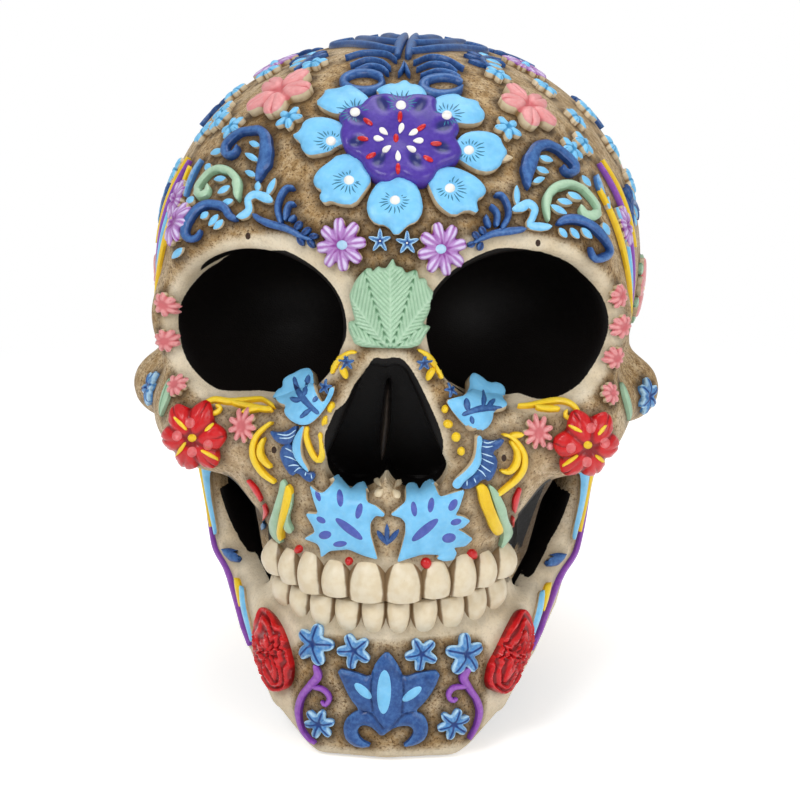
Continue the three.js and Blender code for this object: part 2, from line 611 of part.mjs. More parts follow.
// Crown: on each side a half ring and arcs that branch off a stem beside the middle, joined in one
const CROWN_PATHS = {
  left: [
    [[381, 80], [372, 86], [355, 84], [348, 74], [366, 67], [396, 70]],
    [[389, 78], [394, 66], [399, 42]],
    [[345, 65], [370, 60], [398, 65]],
    [[334, 54], [366, 48], [402, 54]],
    [[376, 44], [403, 43]],
  ],
  right: [
    [[427, 80], [440, 87], [458, 86], [463, 78], [445, 71], [416, 70]],
    [[423, 79], [419, 67], [418, 45]],
    [[414, 64], [440, 61], [463, 70]],
    [[413, 54], [448, 51], [482, 60]],
    [[414, 46], [450, 50]],
  ],
};
for (const side of SIDES) {
  const scrolls = CROWN_PATHS[side].map((path) =>
    solidOf(ribbon(craniumField, path, taper(1.4), undefined, { lift: SCROLL_LIFT })));
  const joined = wasm.Manifold.union(scrolls).asOriginal();
  add(`crown_scroll_${side}`, geometryOf(joined.simplify(FLAT_WITHIN)), deepBlue);
}

// Scrolls and stems in pairs: name, bone, drawn paths at the left and the right, half width, paint and lift
const FACE_RIBBONS = [
  ["brow_fern", craniumField, [
    [[261, 183], [265, 170], [267, 158], [267, 144], [262, 134], [250, 132], [238, 137], [230, 146],
      [230, 156]],
    [[527, 189], [526, 174], [527, 160], [531, 149], [541, 146], [554, 150], [566, 159], [573, 168],
      [569, 175]],
  ], taper(1.5), deepBlue, SEAT_GAP],
  ["mint_curl", craniumField, [
    [[240, 201], [239, 188], [234, 176], [224, 170], [213, 173], [205, 182], [201, 191], [204, 198]],
    [[547, 220], [546, 204], [551, 192], [562, 186], [576, 188], [587, 197], [594, 209], [591, 219]],
  ], taper(1.2), mint, SCROLL_LIFT],
  ["brow_curl", craniumField, [
    [[238, 219], [230, 212], [222, 207], [211, 207], [199, 212], [190, 222], [188, 234], [194, 240]],
    [[556, 229], [566, 226], [580, 225], [594, 233], [603, 244], [605, 254], [597, 257]],
  ], taper(1), deepBlue, SEAT_GAP],
  ["brow_stem", craniumField, [
    [[257, 219], [269, 224], [282, 227], [295, 231], [308, 237]],
    [[522, 233], [510, 235], [498, 236], [486, 239], [474, 242]],
  ], taper(1.2), deepBlue, SEAT_GAP],
  ["cheek_spray", craniumField, [
    [[298, 430], [293, 440], [294, 455], [303, 468], [313, 475]],
    [[478, 438], [480, 452], [474, 467], [464, 474], [455, 478]],
  ], taper(2), deepBlue, SCROLL_LIFT],
  ["cheek_scroll", craniumField, [
    [[270, 428], [260, 434], [254, 445], [255, 458], [263, 471], [272, 480]],
    [[508, 440], [518, 447], [522, 457], [521, 468], [514, 480], [503, 489]],
  ], taper(0.9), yellow, SCROLL_LIFT],
  ["gum_leaf", craniumField, [
    [[288, 482], [286, 496], [282, 514], [280, 534]],
    [[484, 486], [490, 500], [496, 516], [501, 536]],
  ], taper(2, 0.5, 0.4), mint, SCROLL_LIFT],
  ["carnation", mandibleField, [
    [[268, 622], [273, 635], [277, 655], [283, 684]],
    [[513, 622], [509, 637], [502, 658], [492, 684]],
  ], taper(3.8, 0.35, 0.45), red, SEAT_GAP],
  ["chin_curl", mandibleField, [
    [[316, 672], [313, 682], [304, 693], [299, 707], [302, 722], [312, 736]],
    [[468, 672], [465, 681], [471, 696], [475, 711], [472, 728]],
  ], taper(0.8), violet, SEAT_GAP],
];
for (const [name, field, paths, width, material, lift] of FACE_RIBBONS) {
  SIDES.forEach((side, n) => {
    add(`${name}_${side}`, ribbon(field, paths[n], width, width, { lift }), material);
  });
}

// The lotus: its outline is a reach in millimetres at some degrees from straight up, the same to both sides.
const LOTUS_OUTLINE = [[0, 13.5], [30, 6.5], [56, 15], [84, 7], [122, 11.5], [152, 11], [180, 5]];
function lotusReach(angle) {
  const degrees = Math.abs(THREE.MathUtils.radToDeg(Math.atan2(Math.sin(angle), Math.cos(angle))));
  const n = Math.min(LOTUS_OUTLINE.findIndex(([at]) => degrees <= at + 1e-6), LOTUS_OUTLINE.length - 1);
  if (n <= 0) return LOTUS_OUTLINE[0][1];
  const [from, low] = LOTUS_OUTLINE[n - 1];
  const [to, high] = LOTUS_OUTLINE[n];
  return low + ((high - low) * (degrees - from)) / (to - from);
}
add("chin_lotus", pad(mandibleField, [389, 705], lotusReach,
  { edges: 36, rings: [0.5, 1], lift: SCROLL_LIFT, turn: Math.PI / 2 }), deepBlue);

export default skull;
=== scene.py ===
"""Looks of the sugar skull: smooth cast bone, rounded teeth and painted raised ornament round the CAD frame.

Lengths are in millimetres until a mesh is made. A drawn point is a place on a sheet of 800 by 800 units,
four to a millimetre at the face, seen by the eye that the camera stands at: it lies where its sight line
meets the bone.
"""
import math

import bpy
import numpy as np
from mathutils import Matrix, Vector
from mathutils.bvhtree import BVHTree
from mathutils.geometry import delaunay_2d_cdt


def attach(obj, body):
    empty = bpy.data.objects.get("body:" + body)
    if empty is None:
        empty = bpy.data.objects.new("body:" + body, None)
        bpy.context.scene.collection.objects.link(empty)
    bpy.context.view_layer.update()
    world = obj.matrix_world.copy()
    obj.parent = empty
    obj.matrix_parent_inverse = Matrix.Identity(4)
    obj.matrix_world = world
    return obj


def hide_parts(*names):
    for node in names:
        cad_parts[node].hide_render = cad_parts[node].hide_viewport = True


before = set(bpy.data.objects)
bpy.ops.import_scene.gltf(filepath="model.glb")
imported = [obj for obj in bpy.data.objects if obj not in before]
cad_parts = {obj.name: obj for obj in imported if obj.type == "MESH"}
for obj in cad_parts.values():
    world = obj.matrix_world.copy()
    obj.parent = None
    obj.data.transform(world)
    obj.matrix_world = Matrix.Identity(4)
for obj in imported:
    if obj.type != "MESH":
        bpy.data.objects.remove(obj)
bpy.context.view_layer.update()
MM = 0.001

# The eye and its sheet
EYE_TURN = math.radians(2.5)
EYE_RISE = math.radians(15)
EYE_DISTANCE = 620
EYE_AIM = np.array((1.8, -38.0, 87.5))
SHEET_SIZE = 800
SHEET_MIDDLE = SHEET_SIZE / 2
SHEET_REACH = 2275
SHEET_UNIT = 0.25
EYE_BACK = np.array((
    math.sin(EYE_TURN) * math.cos(EYE_RISE),
    -math.cos(EYE_TURN) * math.cos(EYE_RISE),
    math.sin(EYE_RISE),
))
EYE_RIGHT = np.array((math.cos(EYE_TURN), math.sin(EYE_TURN), 0.0))
EYE_UP = np.cross(EYE_BACK, EYE_RIGHT)
EYE = EYE_AIM + EYE_BACK * EYE_DISTANCE

# Heights and depths of the bone, as in the solids
FACE_Y = -84.0
BITE_Z = 45.0
JAW_TOP_Z = 36.5
GUM_Z = 56.0
NOSE_FLOOR_Z = 74.0
CHEEK_Z = 85.0
NOSE_TOP_Z = 109.0
ORBIT_Z = 116.0
BROW_Z = 139.0
VAULT_TOP_Z = 180.0
ORBIT_X = 31.7
CHEEK_X = 47.0
ORBIT_CENTRE = (ORBIT_X, FACE_Y + 14, ORBIT_Z)
ORBIT_HALF = (24.6, 29.0, 20.0)
ORBIT_TURN = 0.4
ORBIT_DROOP = -0.16
NOSE_WING = 7.6
NOSE_WING_SWELL = 0.3
NOSE_TIP_X = 2.4
NOSE_TIP_RADIUS = 3.0
ARCH_CENTRE_Y = FACE_Y + 43
ARCH_SEMI_X = 35.0
ARCH_SEMI_Y = 41.0
TOOTH_DEPTH = 8.0
LOWER_INSET = 3.0
UPPER_WIDTHS = (8.8, 7.4, 7.4, 7.0, 9.0)
LOWER_WIDTHS = (6.0, 6.8, 7.4, 7.4, 9.0)
SIDES = (("left", -1), ("right", 1))

# The ridges that the roots of the teeth raise on the bone
UPPER_ROOTS = (9, 9, 13, 8, 7)
LOWER_ROOTS = (-6, -6, -8, -6, -5)
UPPER_ROOT_RADIUS = 3.0
LOWER_ROOT_RADIUS = 2.6
ROOT_BLEND = 3.0
ROOT_INSET = 1.8
ROOT_LEAN = 1.0
ROOT_TAPER = 0.6


# Fields: a field is negative inside the bone and in millimetres near its skin.
def soft_min(a, b, blend):
    overlap = np.maximum(blend - np.abs(a - b), 0) / blend
    return np.minimum(a, b) - overlap * overlap * blend / 4


def soft_max(a, b, blend):
    return -soft_min(-a, -b, blend)


def turned(x, y, z, centre, turn, tip):
    """The point in the axes of an ellipsoid that is turned about Z and then tipped in the front view."""
    u, v, w = x - centre[0], y - centre[1], z - centre[2]
    u, v = math.cos(turn) * u + math.sin(turn) * v, math.cos(turn) * v - math.sin(turn) * u
    u, w = math.cos(tip) * u + math.sin(tip) * w, math.cos(tip) * w - math.sin(tip) * u
    return u, v, w


def blob(x, y, z, centre, half, turn=0.0, tip=0.0):
    u, v, w = turned(x, y, z, centre, turn, tip)
    near = np.sqrt((u / half[0]) ** 2 + (v / half[1]) ** 2 + (w / half[2]) ** 2)
    slope = np.sqrt((u / half[0] ** 2) ** 2 + (v / half[1] ** 2) ** 2 + (w / half[2] ** 2) ** 2)
    return near * (near - 1) / np.maximum(slope, 1e-9)


def limb(x, y, z, start, end, radius, end_radius):
    dx, dy, dz = (end[i] - start[i] for i in range(3))
    along = (x - start[0]) * dx + (y - start[1]) * dy + (z - start[2]) * dz
    t = np.clip(along / (dx * dx + dy * dy + dz * dz), 0, 1)
    u, v, w = x - start[0] - t * dx, y - start[1] - t * dy, z - start[2] - t * dz
    return np.sqrt(u ** 2 + v ** 2 + w ** 2) - (radius + (end_radius - radius) * t)


def orbit_field(x, y, z):
    return blob(np.abs(x), y, z, ORBIT_CENTRE, ORBIT_HALF, ORBIT_TURN, ORBIT_DROOP)


def nose_field(x, z):
    """The pear of the nose in the front view."""
    wide = (NOSE_WING, 0, NOSE_FLOOR_Z + NOSE_WING)
    tip = (NOSE_TIP_X, 0, NOSE_TOP_Z - NOSE_TIP_RADIUS)
    return limb(np.abs(x), 0 * z, z, wide, tip, NOSE_WING + NOSE_WING_SWELL, NOSE_TIP_RADIUS)


def tooth_places(widths, inset):
    """Middle, turn and width of each tooth along one side of an elliptical arch, from the front."""
    ax, ay = ARCH_SEMI_X - inset, ARCH_SEMI_Y - inset
    angle = 0.0
    places = []
    for width in widths:
        angle += width / 2 / math.hypot(ax * math.cos(angle), ay * math.sin(angle))
        x, y = ax * math.sin(angle), ARCH_CENTRE_Y - ay * math.cos(angle)
        places.append((x, y, math.atan2(ay * math.sin(angle), ax * math.cos(angle)), width))
        angle += width / 2 / math.hypot(ax * math.cos(angle), ay * math.sin(angle))
    return places


def with_roots(field, x, y, z, places, neck_z, lengths, radius):
    """Adds the ridge of each tooth's root, only near it."""
    reach = radius + ROOT_BLEND
    for (px, py, turn, _), length in zip(places, lengths):
        px, py = px - ROOT_INSET * math.sin(turn), py + ROOT_INSET * math.cos(turn)
        low, high = sorted((neck_z, neck_z + length))
        close = (np.abs(x - px) < reach) & (np.abs(y - py) < reach)
        close &= (z > low - reach) & (z < high + reach)
        neck = (px, py, neck_z)
        end = (px, py + ROOT_LEAN, neck_z + length)
        ridge = limb(x[close], y[close], z[close], neck, end, radius, radius * ROOT_TAPER)
        field[close] = soft_min(field[close], ridge, ROOT_BLEND)
    return field


# Forms of the skull, and how softly each joins those before it: a blob has its middle and half sizes, a limb
# its two ends and the radius at each
BROW_OUT = (46.5, FACE_Y + 21, BROW_Z - 3)
RIM_MIDDLE = (53, FACE_Y + 29, ORBIT_Z - 2)
ARCH_BOW = (63.5, FACE_Y + 56, CHEEK_Z + 4)
HEAD_FORMS = (
    ((0, 8, VAULT_TOP_Z - 64), (67.5, 82.2, 64), 0),  # vault
    ((0, -35, BROW_Z - 11), (55, 46, 47), 26),  # forehead
    ((0, 32, 80), (54, 51, 52), 26),  # back of the head
    ((0, 22, 36), (46, 40, 46), 26),  # foot that the skull rests on
    ((22, 13, VAULT_TOP_Z - 56), (39, 56, 42), 16),  # sides of the vault
    ((40, FACE_Y + 42, ORBIT_Z - 4), (17, 18, 26), 12),  # temples
)
FACE_FORMS = (
    ((8, FACE_Y + 8, BROW_Z), BROW_OUT, 7, 6, 0),  # brow
    (BROW_OUT, RIM_MIDDLE, 6, 6, 8),  # outer rim of the orbit
    (RIM_MIDDLE, (51, FACE_Y + 23, CHEEK_Z + 7), 6, 6, 8),
    ((CHEEK_X, FACE_Y + 23, CHEEK_Z), (10, 11, 10), 10),  # cheekbone
    ((14, FACE_Y + 8, CHEEK_Z + 7), (CHEEK_X, FACE_Y + 20, CHEEK_Z + 3), 7, 7, 10),  # lower rim
    ((22, FACE_Y + 24, CHEEK_Z - 7), (19, 20, 17), 10),
    ((0, FACE_Y + 24, NOSE_FLOOR_Z), (31, 25, 24), 12),  # upper jaw
)
NOSE_FORMS = (
    ((0, FACE_Y + 8, BROW_Z), (0, FACE_Y + 4, NOSE_TOP_Z + 5), 8, 7, 8),
    ((12, FACE_Y + 7, ORBIT_Z - 4), (16, FACE_Y + 6, CHEEK_Z + 7), 6, 6, 8),
)
ARCH_FORMS = (
    ((CHEEK_X + 8, FACE_Y + 30, CHEEK_Z + 3), ARCH_BOW, 6, 7, 0),
    (ARCH_BOW, (54.5, FACE_Y + 84, CHEEK_Z + 6), 7, 6, 8),
    ((50, FACE_Y + 36, CHEEK_Z + 2), (50, FACE_Y + 74, CHEEK_Z + 6), 9, 9, 8),
)


def joined(x, y, z, forms, field=None):
    """A field with forms joined to it one by one."""
    for *form, blend in forms:
        more = blob(x, y, z, *form) if len(form) == 2 else limb(x, y, z, *form)
        field = more if field is None else soft_min(field, more, blend)
    return field


def cranium_field(side, y, z):
    x = np.abs(side)
    face = joined(x, y, z, FACE_FORMS)
    ridge = (np.sqrt((x / 34) ** 2 + ((y - FACE_Y - 41) / 40.5) ** 2) - 1) * 34
    face = soft_min(face, soft_max(ridge, np.abs(z - GUM_Z - 4) - 14, 5), 8)
    face = joined(x, y, z, NOSE_FORMS, face)
    d = soft_min(joined(x, y, z, HEAD_FORMS), face, 14)
    d = soft_min(d, joined(x, y, z, ARCH_FORMS), 10)
    d = with_roots(d, x, y, z, tooth_places(UPPER_WIDTHS, 0), GUM_Z, UPPER_ROOTS, UPPER_ROOT_RADIUS)
    # The gum reaches down between the crowns, and the palate is open behind it.
    d = soft_max(d, np.minimum(BITE_Z + 2.5 - z, FACE_Y + 66 - y), 2)
    d = soft_max(d, -orbit_field(x, y, z), 6)
    nose_back = FACE_Y + 19 - 0.34 * (z - NOSE_FLOOR_Z)
    d = soft_max(d, -np.maximum(nose_field(x, z), y - nose_back), 3)
    return soft_max(d, -z, 1.5)


# The jaw's wall from the chin to the corner: across, back from the face, half thickness, lower and upper
# edge
JAW_STATIONS = (
    (0, 9, 8, -3, JAW_TOP_Z),
    (15, 11, 7.6, -3, JAW_TOP_Z),
    (27, 20, 6.4, 8, JAW_TOP_Z),
    (35, 34, 5.6, 18, JAW_TOP_Z + 2),
    (41, 48, 5, 26, JAW_TOP_Z + 10),
    (45, 62, 4.6, 34, JAW_TOP_Z + 18),
)
BRANCH_Y = FACE_Y + 60
BRANCH_FLATNESS = 0.42
LOWER_GUM_BACK_Y = -52
FAR_OFF = 1e9


def mandible_field(side, y, z, cranium=None):
    x = np.abs(side)
    gap = np.full(np.shape(x), FAR_OFF)
    half, low, high = np.zeros_like(gap), np.zeros_like(gap), np.zeros_like(gap)
    for a, b in zip(JAW_STATIONS, JAW_STATIONS[1:]):
        dx, dy = b[0] - a[0], b[1] - a[1]
        t = np.clip(((x - a[0]) * dx + (y - FACE_Y - a[1]) * dy) / (dx * dx + dy * dy), 0, 1)
        far = np.sqrt((x - a[0] - t * dx) ** 2 + (y - FACE_Y - a[1] - t * dy) ** 2)
        closer = far < gap
        gap = np.where(closer, far, gap)
        half = np.where(closer, a[2] + t * (b[2] - a[2]), half)
        low = np.where(closer, a[3] + t * (b[3] - a[3]), low)
        high = np.where(closer, a[4] + t * (b[4] - a[4]), high)
    tall = (high - low) / 2
    near = ((gap / half) ** 3 + (np.abs(z - (high + low) / 2) / tall) ** 3) ** (1 / 3)
    d = (near - 1) * np.minimum(half, tall)
    # The upright branch, a limb that is flat from side to side
    deep = (y - BRANCH_Y) * BRANCH_FLATNESS
    d = soft_min(d, limb(x, deep, z, (46, 0, BITE_Z - 1), (53, 2.52, CHEEK_Z - 9), 4.6, 4.2), 6)
    # The gum between the lower crowns
    semi_x, semi_y = ARCH_SEMI_X - LOWER_INSET, ARCH_SEMI_Y - LOWER_INSET
    round_arch = (np.sqrt((x / semi_x) ** 2 + ((y - ARCH_CENTRE_Y) / semi_y) ** 2) - 1) * semi_x
    gum = np.maximum(np.abs(round_arch) - 2.0, np.abs(z - JAW_TOP_Z + 1) - 6.5)
    gum = np.maximum(gum, y - LOWER_GUM_BACK_Y)
    d = soft_min(d, gum, 3)
    places = tooth_places(LOWER_WIDTHS, LOWER_INSET)
    d = with_roots(d, x, y, z, places, JAW_TOP_Z, LOWER_ROOTS, LOWER_ROOT_RADIUS)
    cranium = cranium_field(side, y, z) if cranium is None else cranium
    d = soft_max(d, 1 - cranium, 2)
    return soft_max(d, -z, 3)


def skull_field(x, y, z):
    cranium = cranium_field(x, y, z)
    return np.minimum(cranium, mandible_field(x, y, z, cranium))


NUDGE = 0.08


def lengths(rows):
    return np.linalg.norm(rows, axis=1)


def slope_of(field, points):
    """Gradient of a field at rows of points."""
    shifts = np.concatenate((np.eye(3), -np.eye(3))) * NUDGE
    value = field(*(points[None] + shifts[:, None]).reshape(-1, 3).T).reshape(6, -1)
    return ((value[:3] - value[3:]) / (2 * NUDGE)).T


def lines(*stretches):
    """Grid lines through stretches that follow each other, each with its limits and step."""
    found = [np.linspace(a, b, max(2, round((b - a) / step) + 1)) for a, b, step in stretches]
    return np.concatenate([found[0]] + [line[1:] for line in found[1:]])


SETTLE_ROUNDS = 3
MOST_SETTLED = 0.6
LEAST_SLOPE = 0.1


def skin(field, xs, ys, zs):
    """The closed skin of a field: a point in each cell that it crosses, a quad across each edge it cuts."""
    axes = (xs, ys, zs)
    value = field(*np.meshgrid(xs, ys, zs, indexing="ij"))
    inside = value < 0
    shape = np.array(value.shape) - 1
    total = np.zeros((np.prod(shape), 3))
    count = np.zeros(np.prod(shape))
    quads = []
    for axis in range(3):
        near = [slice(None)] * 3
        far = [slice(None)] * 3
        near[axis], far[axis] = slice(None, -1), slice(1, None)
        a, b = value[tuple(near)], value[tuple(far)]
        at = np.argwhere(inside[tuple(near)] != inside[tuple(far)])
        va, vb = a[tuple(at.T)], b[tuple(at.T)]
        spot = np.stack([axes[m][at[:, m]] for m in range(3)], 1)
        t = va / (va - vb)
        spot[:, axis] += t * (axes[axis][at[:, axis] + 1] - axes[axis][at[:, axis]])
        u, v = (axis + 1) % 3, (axis + 2) % 3
        corners = []
        for du, dv in ((0, 0), (1, 0), (1, 1), (0, 1)):
            cell = at.copy()
            cell[:, u] -= du
            cell[:, v] -= dv
            number = np.ravel_multi_index(cell.T, shape, mode="clip")
            np.add.at(total, number, spot)
            np.add.at(count, number, 1)
            corners.append(number)
        quad = np.stack(corners, 1)
        quads.append(np.where((va < 0)[:, None], quad, quad[:, ::-1]))
    used = np.flatnonzero(count)
    points = total[used] / count[used, None]
    place = np.full(len(count), -1)
    place[used] = np.arange(len(used))
    for _ in range(SETTLE_ROUNDS):
        slope = slope_of(field, points)
        off = field(*points.T) / np.maximum((slope ** 2).sum(1), LEAST_SLOPE)
        points -= np.clip(off, -MOST_SETTLED, MOST_SETTLED)[:, None] * slope
    return points, place[np.concatenate(quads)]


# Meshes
def mesh_piece(name, points, faces, layers, materials):
    """A smooth mesh object from points in millimetres, with a number on each point for each layer."""
    mesh = bpy.data.meshes.new(name)
    mesh.from_pydata((np.asarray(points) * MM).tolist(), [], [list(map(int, face)) for face in faces])
    mesh.polygons.foreach_set("use_smooth", np.ones(len(mesh.polygons), bool))
    for layer, numbers in layers.items():
        attribute = mesh.attributes.new(layer, "FLOAT", "POINT")
        attribute.data.foreach_set("value", np.asarray(numbers, np.float32))
    for material in materials:
        mesh.materials.append(material)
    mesh.update()
    piece = bpy.data.objects.new(name, mesh)
    bpy.context.scene.collection.objects.link(piece)
    return piece


def tree_of(*parts):
    """A search tree of several lists of points and faces."""
    points, faces, start = [], [], 0
    for some_points, some_faces in parts:
        points.extend(map(tuple, some_points))
        faces.extend([tuple(int(i) + start for i in face) for face in some_faces])
        start += len(some_points)
    return BVHTree.FromPolygons(points, faces)


# Bone skins
CRANIUM_GRID = (
    lines((-77, 77, 1.15)),
    lines((-97, -44, 1.05), (-44, 98, 2.0)),
    lines((-4, 42, 2.0), (42, 150, 1.05), (150, 190, 1.6)),
)
JAW_GRID = (
    lines((-62, 62, 1.1)),
    lines((-96, -6, 1.1)),
    lines((-4, 82, 1.1)),
)
cranium_points, cranium_faces = skin(cranium_field, *CRANIUM_GRID)
jaw_points, jaw_faces = skin(mandible_field, *JAW_GRID)
bone_tree = tree_of((cranium_points, cranium_faces), (jaw_points, jaw_faces))
jaw_tree = tree_of((jaw_points, jaw_faces))


# Drawing on the bone
def to_sheet(points):
    """Where points are on the sheet."""
    off = points - EYE
    depth = -(off @ EYE_BACK)
    return np.stack((
        SHEET_MIDDLE + SHEET_REACH * (off @ EYE_RIGHT) / depth,
        SHEET_MIDDLE - SHEET_REACH * (off @ EYE_UP) / depth,
    ), 1)


CAST_LIMIT = 1000


def cast(origins, ways, tree, reach=None, limit=CAST_LIMIT):
    """Where lines meet the outside of a tree. A line that misses goes to the place nearest its reach."""
    ways = [Vector(way) for way in ways]
    found = [tree.ray_cast(Vector(origin), way, limit) for origin, way in zip(origins, ways)]
    met = [hit is not None and normal.dot(way) < 0 for (hit, normal, _, _), way in zip(found, ways)]
    if reach is None:
        reach = np.median([far for (_, _, _, far), ok in zip(found, met) if ok] or [EYE_DISTANCE])
    return np.array([
        hit[0] if ok else tree.find_nearest(Vector(origin) + way * reach)[0]
        for hit, ok, origin, way in zip(found, met, origins, ways)
    ])


def outward(points):
    slope = slope_of(skull_field, points)
    return slope / np.linalg.norm(slope, axis=1, keepdims=True)


def sight_lines(plan):
    """Unit ways from the eye through places on the sheet."""
    ways = (
        -EYE_BACK * SHEET_REACH
        + EYE_RIGHT * (plan[:, :1] - SHEET_MIDDLE)
        + EYE_UP * (SHEET_MIDDLE - plan[:, 1:])
    )
    return ways / np.linalg.norm(ways, axis=1, keepdims=True)


class OnSheet:
    """Lays a plan drawn on the sheet on the bone, along the sight lines."""

    unit = SHEET_UNIT

    def __init__(self, tree):
        self.tree = tree

    def __call__(self, plan):
        spots = cast(np.repeat(EYE[None], len(plan), 0), sight_lines(plan), self.tree)
        return spots, outward(spots)


RIM_SAG = 1.6
RIM_RINGS = (0.3, 0.6, 0.9)
SHEET_SLIP = 0.5


class OnRim(OnSheet):
    """Lays a plan like OnSheet, and keeps it level where it reaches out over the rim of a hollow."""

    def __init__(self, loop, tree):
        super().__init__(tree)
        loop = np.array(loop, float)
        middle = loop.mean(0)
        plan = np.vstack([middle + (loop - middle) * share for share in RIM_RINGS])
        spots, out = super().__call__(plan)
        held = lengths(to_sheet(spots) - plan) < SHEET_SLIP
        self.out = out[held].mean(0) / np.linalg.norm(out[held].mean(0))
        self.middle = spots[held].mean(0) - self.out * RIM_SAG

    def __call__(self, plan):
        spots, out = super().__call__(plan)
        loose = lengths(to_sheet(spots) - plan) > SHEET_SLIP
        loose |= (spots - self.middle) @ self.out < 0
        ways = sight_lines(plan[loose])
        reach = (self.middle - EYE) @ self.out / (ways @ self.out)
        spots[loose] = EYE + ways * reach[:, None]
        out[loose] = self.out
        return spots, out


PATCH_ABOVE = 14.0
PATCH_LIMIT = 21.0
NEARLY_LEVEL = 0.97


class OnPatch:
    """Lays a plan in millimetres on the bone about a place, straight down on its tangent plane.

    The plan's up is the bone's, or its back where the bone is nearly level.
    """

    unit = 1.0

    def __init__(self, middle, tree):
        self.tree = tree
        self.middle = np.asarray(middle, float)
        self.out = outward(self.middle[None])[0]
        level = abs(self.out[2]) > NEARLY_LEVEL
        self.across = np.cross((0.0, 1.0, 0.0) if level else (0.0, 0.0, 1.0), self.out)
        self.across /= np.linalg.norm(self.across)
        self.up = np.cross(self.out, self.across)

    def __call__(self, plan):
        starts = self.middle + self.across * plan[:, :1] + self.up * plan[:, 1:] + self.out * PATCH_ABOVE
        ways = np.repeat(-self.out[None], len(plan), 0)
        spots = cast(starts, ways, self.tree, PATCH_ABOVE, PATCH_LIMIT)
        return spots, outward(spots)


FLANK_START_X = 100.0
FLANK_REACH = 48.0
FLANK_LIMIT = 75.0


class OnFlank:
    """Lays a plan of millimetres back and up on one side of the bone, straight from that side."""

    unit = 1.0

    def __init__(self, sign, tree):
        self.sign = sign
        self.tree = tree

    def __call__(self, plan):
        starts = np.column_stack((np.full(len(plan), FLANK_START_X * self.sign), plan))
        ways = np.repeat([(-self.sign, 0.0, 0.0)], len(plan), 0)
        spots = cast(starts, ways, self.tree, FLANK_REACH, FLANK_LIMIT)
        return spots, outward(spots)


def softened(loop, rounds=1, cut=0.25):
    """A closed outline with its corners cut."""
    loop = np.asarray(loop, float)
    for _ in range(rounds):
        after = np.roll(loop, -1, 0)
        pair = ((1 - cut) * loop + cut * after, cut * loop + (1 - cut) * after)
        loop = np.stack(pair, 1).reshape(-1, 2)
    return loop


def resampled(curve, step, least, closed):
    """Points at even steps along a curve. A closed one leaves out its last point, which is its first."""
    along = np.concatenate(([0], np.cumsum(lengths(np.diff(curve, axis=0)))))
    count = max(least, round(along[-1] / step) + (not closed))
    at = np.linspace(0, along[-1], count, endpoint=not closed)
    return np.stack([np.interp(at, along, curve[:, k]) for k in range(2)], 1)


GAP_BATCH = 2000
TINY = 1e-12


def edge_gap(points, loop):
    """How far points are from an outline, and which lie inside it."""
    a, b = loop, np.roll(loop, -1, 0)
    d = b - a
    gap = np.empty(len(points))
    within = np.empty(len(points), bool)
    for start in range(0, len(points), GAP_BATCH):
        batch = slice(start, start + GAP_BATCH)
        p = points[batch, None]
        t = np.clip(((p - a) * d).sum(2) / np.maximum((d * d).sum(1), TINY), 0, 1)
        gap[batch] = np.linalg.norm(p - a - t[..., None] * d, axis=2).min(1)
        crosses = (a[:, 1] > p[..., 1]) != (b[:, 1] > p[..., 1])
        rise = np.where(np.abs(d[:, 1]) < TINY, TINY, d[:, 1])
        at = a[:, 0] + (p[..., 1] - a[:, 1]) * d[:, 0] / rise
        within[batch] = (crosses & (p[..., 0] < at)).sum(1) % 2 == 1
    return gap, within


ROW_STEP = 0.866
EDGE_CLEARANCE = 0.6
INSIDE_ONLY = 1
MERGE_GAP = 1e-6


def filled(loop, step):
    """An even net of points and triangles inside an outline, the points of the outline first."""
    ring = resampled(np.vstack((loop, loop[:1])), step, 8, True)
    low, high = ring.min(0), ring.max(0)
    rows = np.arange(low[1], high[1], step * ROW_STEP)
    columns = np.arange(low[0], high[0], step)
    grid = np.concatenate([
        np.stack((columns + (n % 2) * step / 2, np.full(len(columns), y)), 1) for n, y in enumerate(rows)
    ])
    gap, within = edge_gap(grid, ring)
    grid = grid[within & (gap > step * EDGE_CLEARANCE)]
    points = np.vstack((ring, grid))
    edges = [(i, (i + 1) % len(ring)) for i in range(len(ring))]
    points = [Vector(p) for p in points]
    net, _, faces, _, _, _ = delaunay_2d_cdt(points, edges, [], INSIDE_ONLY, MERGE_GAP)
    net = np.array([tuple(p) for p in net])
    return net, faces, len(ring)


def ease(x):
    x = np.clip(x, 0, 1)
    return x * x * (3 - 2 * x)


# The sides of a relief darken toward their foot: painted shade where they meet the bone, with the brown wash
# there.
FOOT_SHADE_TONE = -0.8
SHARP_ANGLE = math.radians(44)


class Relief:
    """Collects one raised piece: painted tops, and sides that go down into the bone.

    The sides of sky blue, pink and lilac pieces are bare cast, those of the others are painted.
    """

    def __init__(self):
        self.points, self.faces, self.kinds, self.tone = [], [], [], []
        self.count = 0

    def add(self, tops, faces, ring, feet, tone):
        """Adds a body: its top faces, the sides below a ring of its top points, and its underside."""
        n, start = len(ring), len(tops)
        sides = [(ring[i], start + i, start + (i + 1) % n, ring[(i + 1) % n]) for i in range(n)]
        under = tuple(range(start + n - 1, start - 1, -1))
        if not runs_left(faces, ring):
            sides = [face[::-1] for face in sides]
            under = under[::-1]
        bodies = list(faces) + sides + [under]
        self.faces.extend([[int(i) + self.count for i in face] for face in bodies])
        self.kinds.extend([0] * len(faces) + [1] * (n + 1))
        self.points.append(np.vstack((tops, feet)))
        self.tone.append(np.concatenate((tone, np.full(n, FOOT_SHADE_TONE))))
        self.count += start + n

    def body(self):
        return np.concatenate(self.points), self.faces

    def finish(self, name, paint, slot, nodes=()):
        side = CAST if paint in (SKY, PINK, LILAC) else paint
        piece = mesh_piece(name, *self.body(), {"tone": np.concatenate(self.tone)}, (paint, side))
        piece.data.polygons.foreach_set("material_index", np.array(self.kinds, np.int32))
        return settle_piece(piece, nodes)


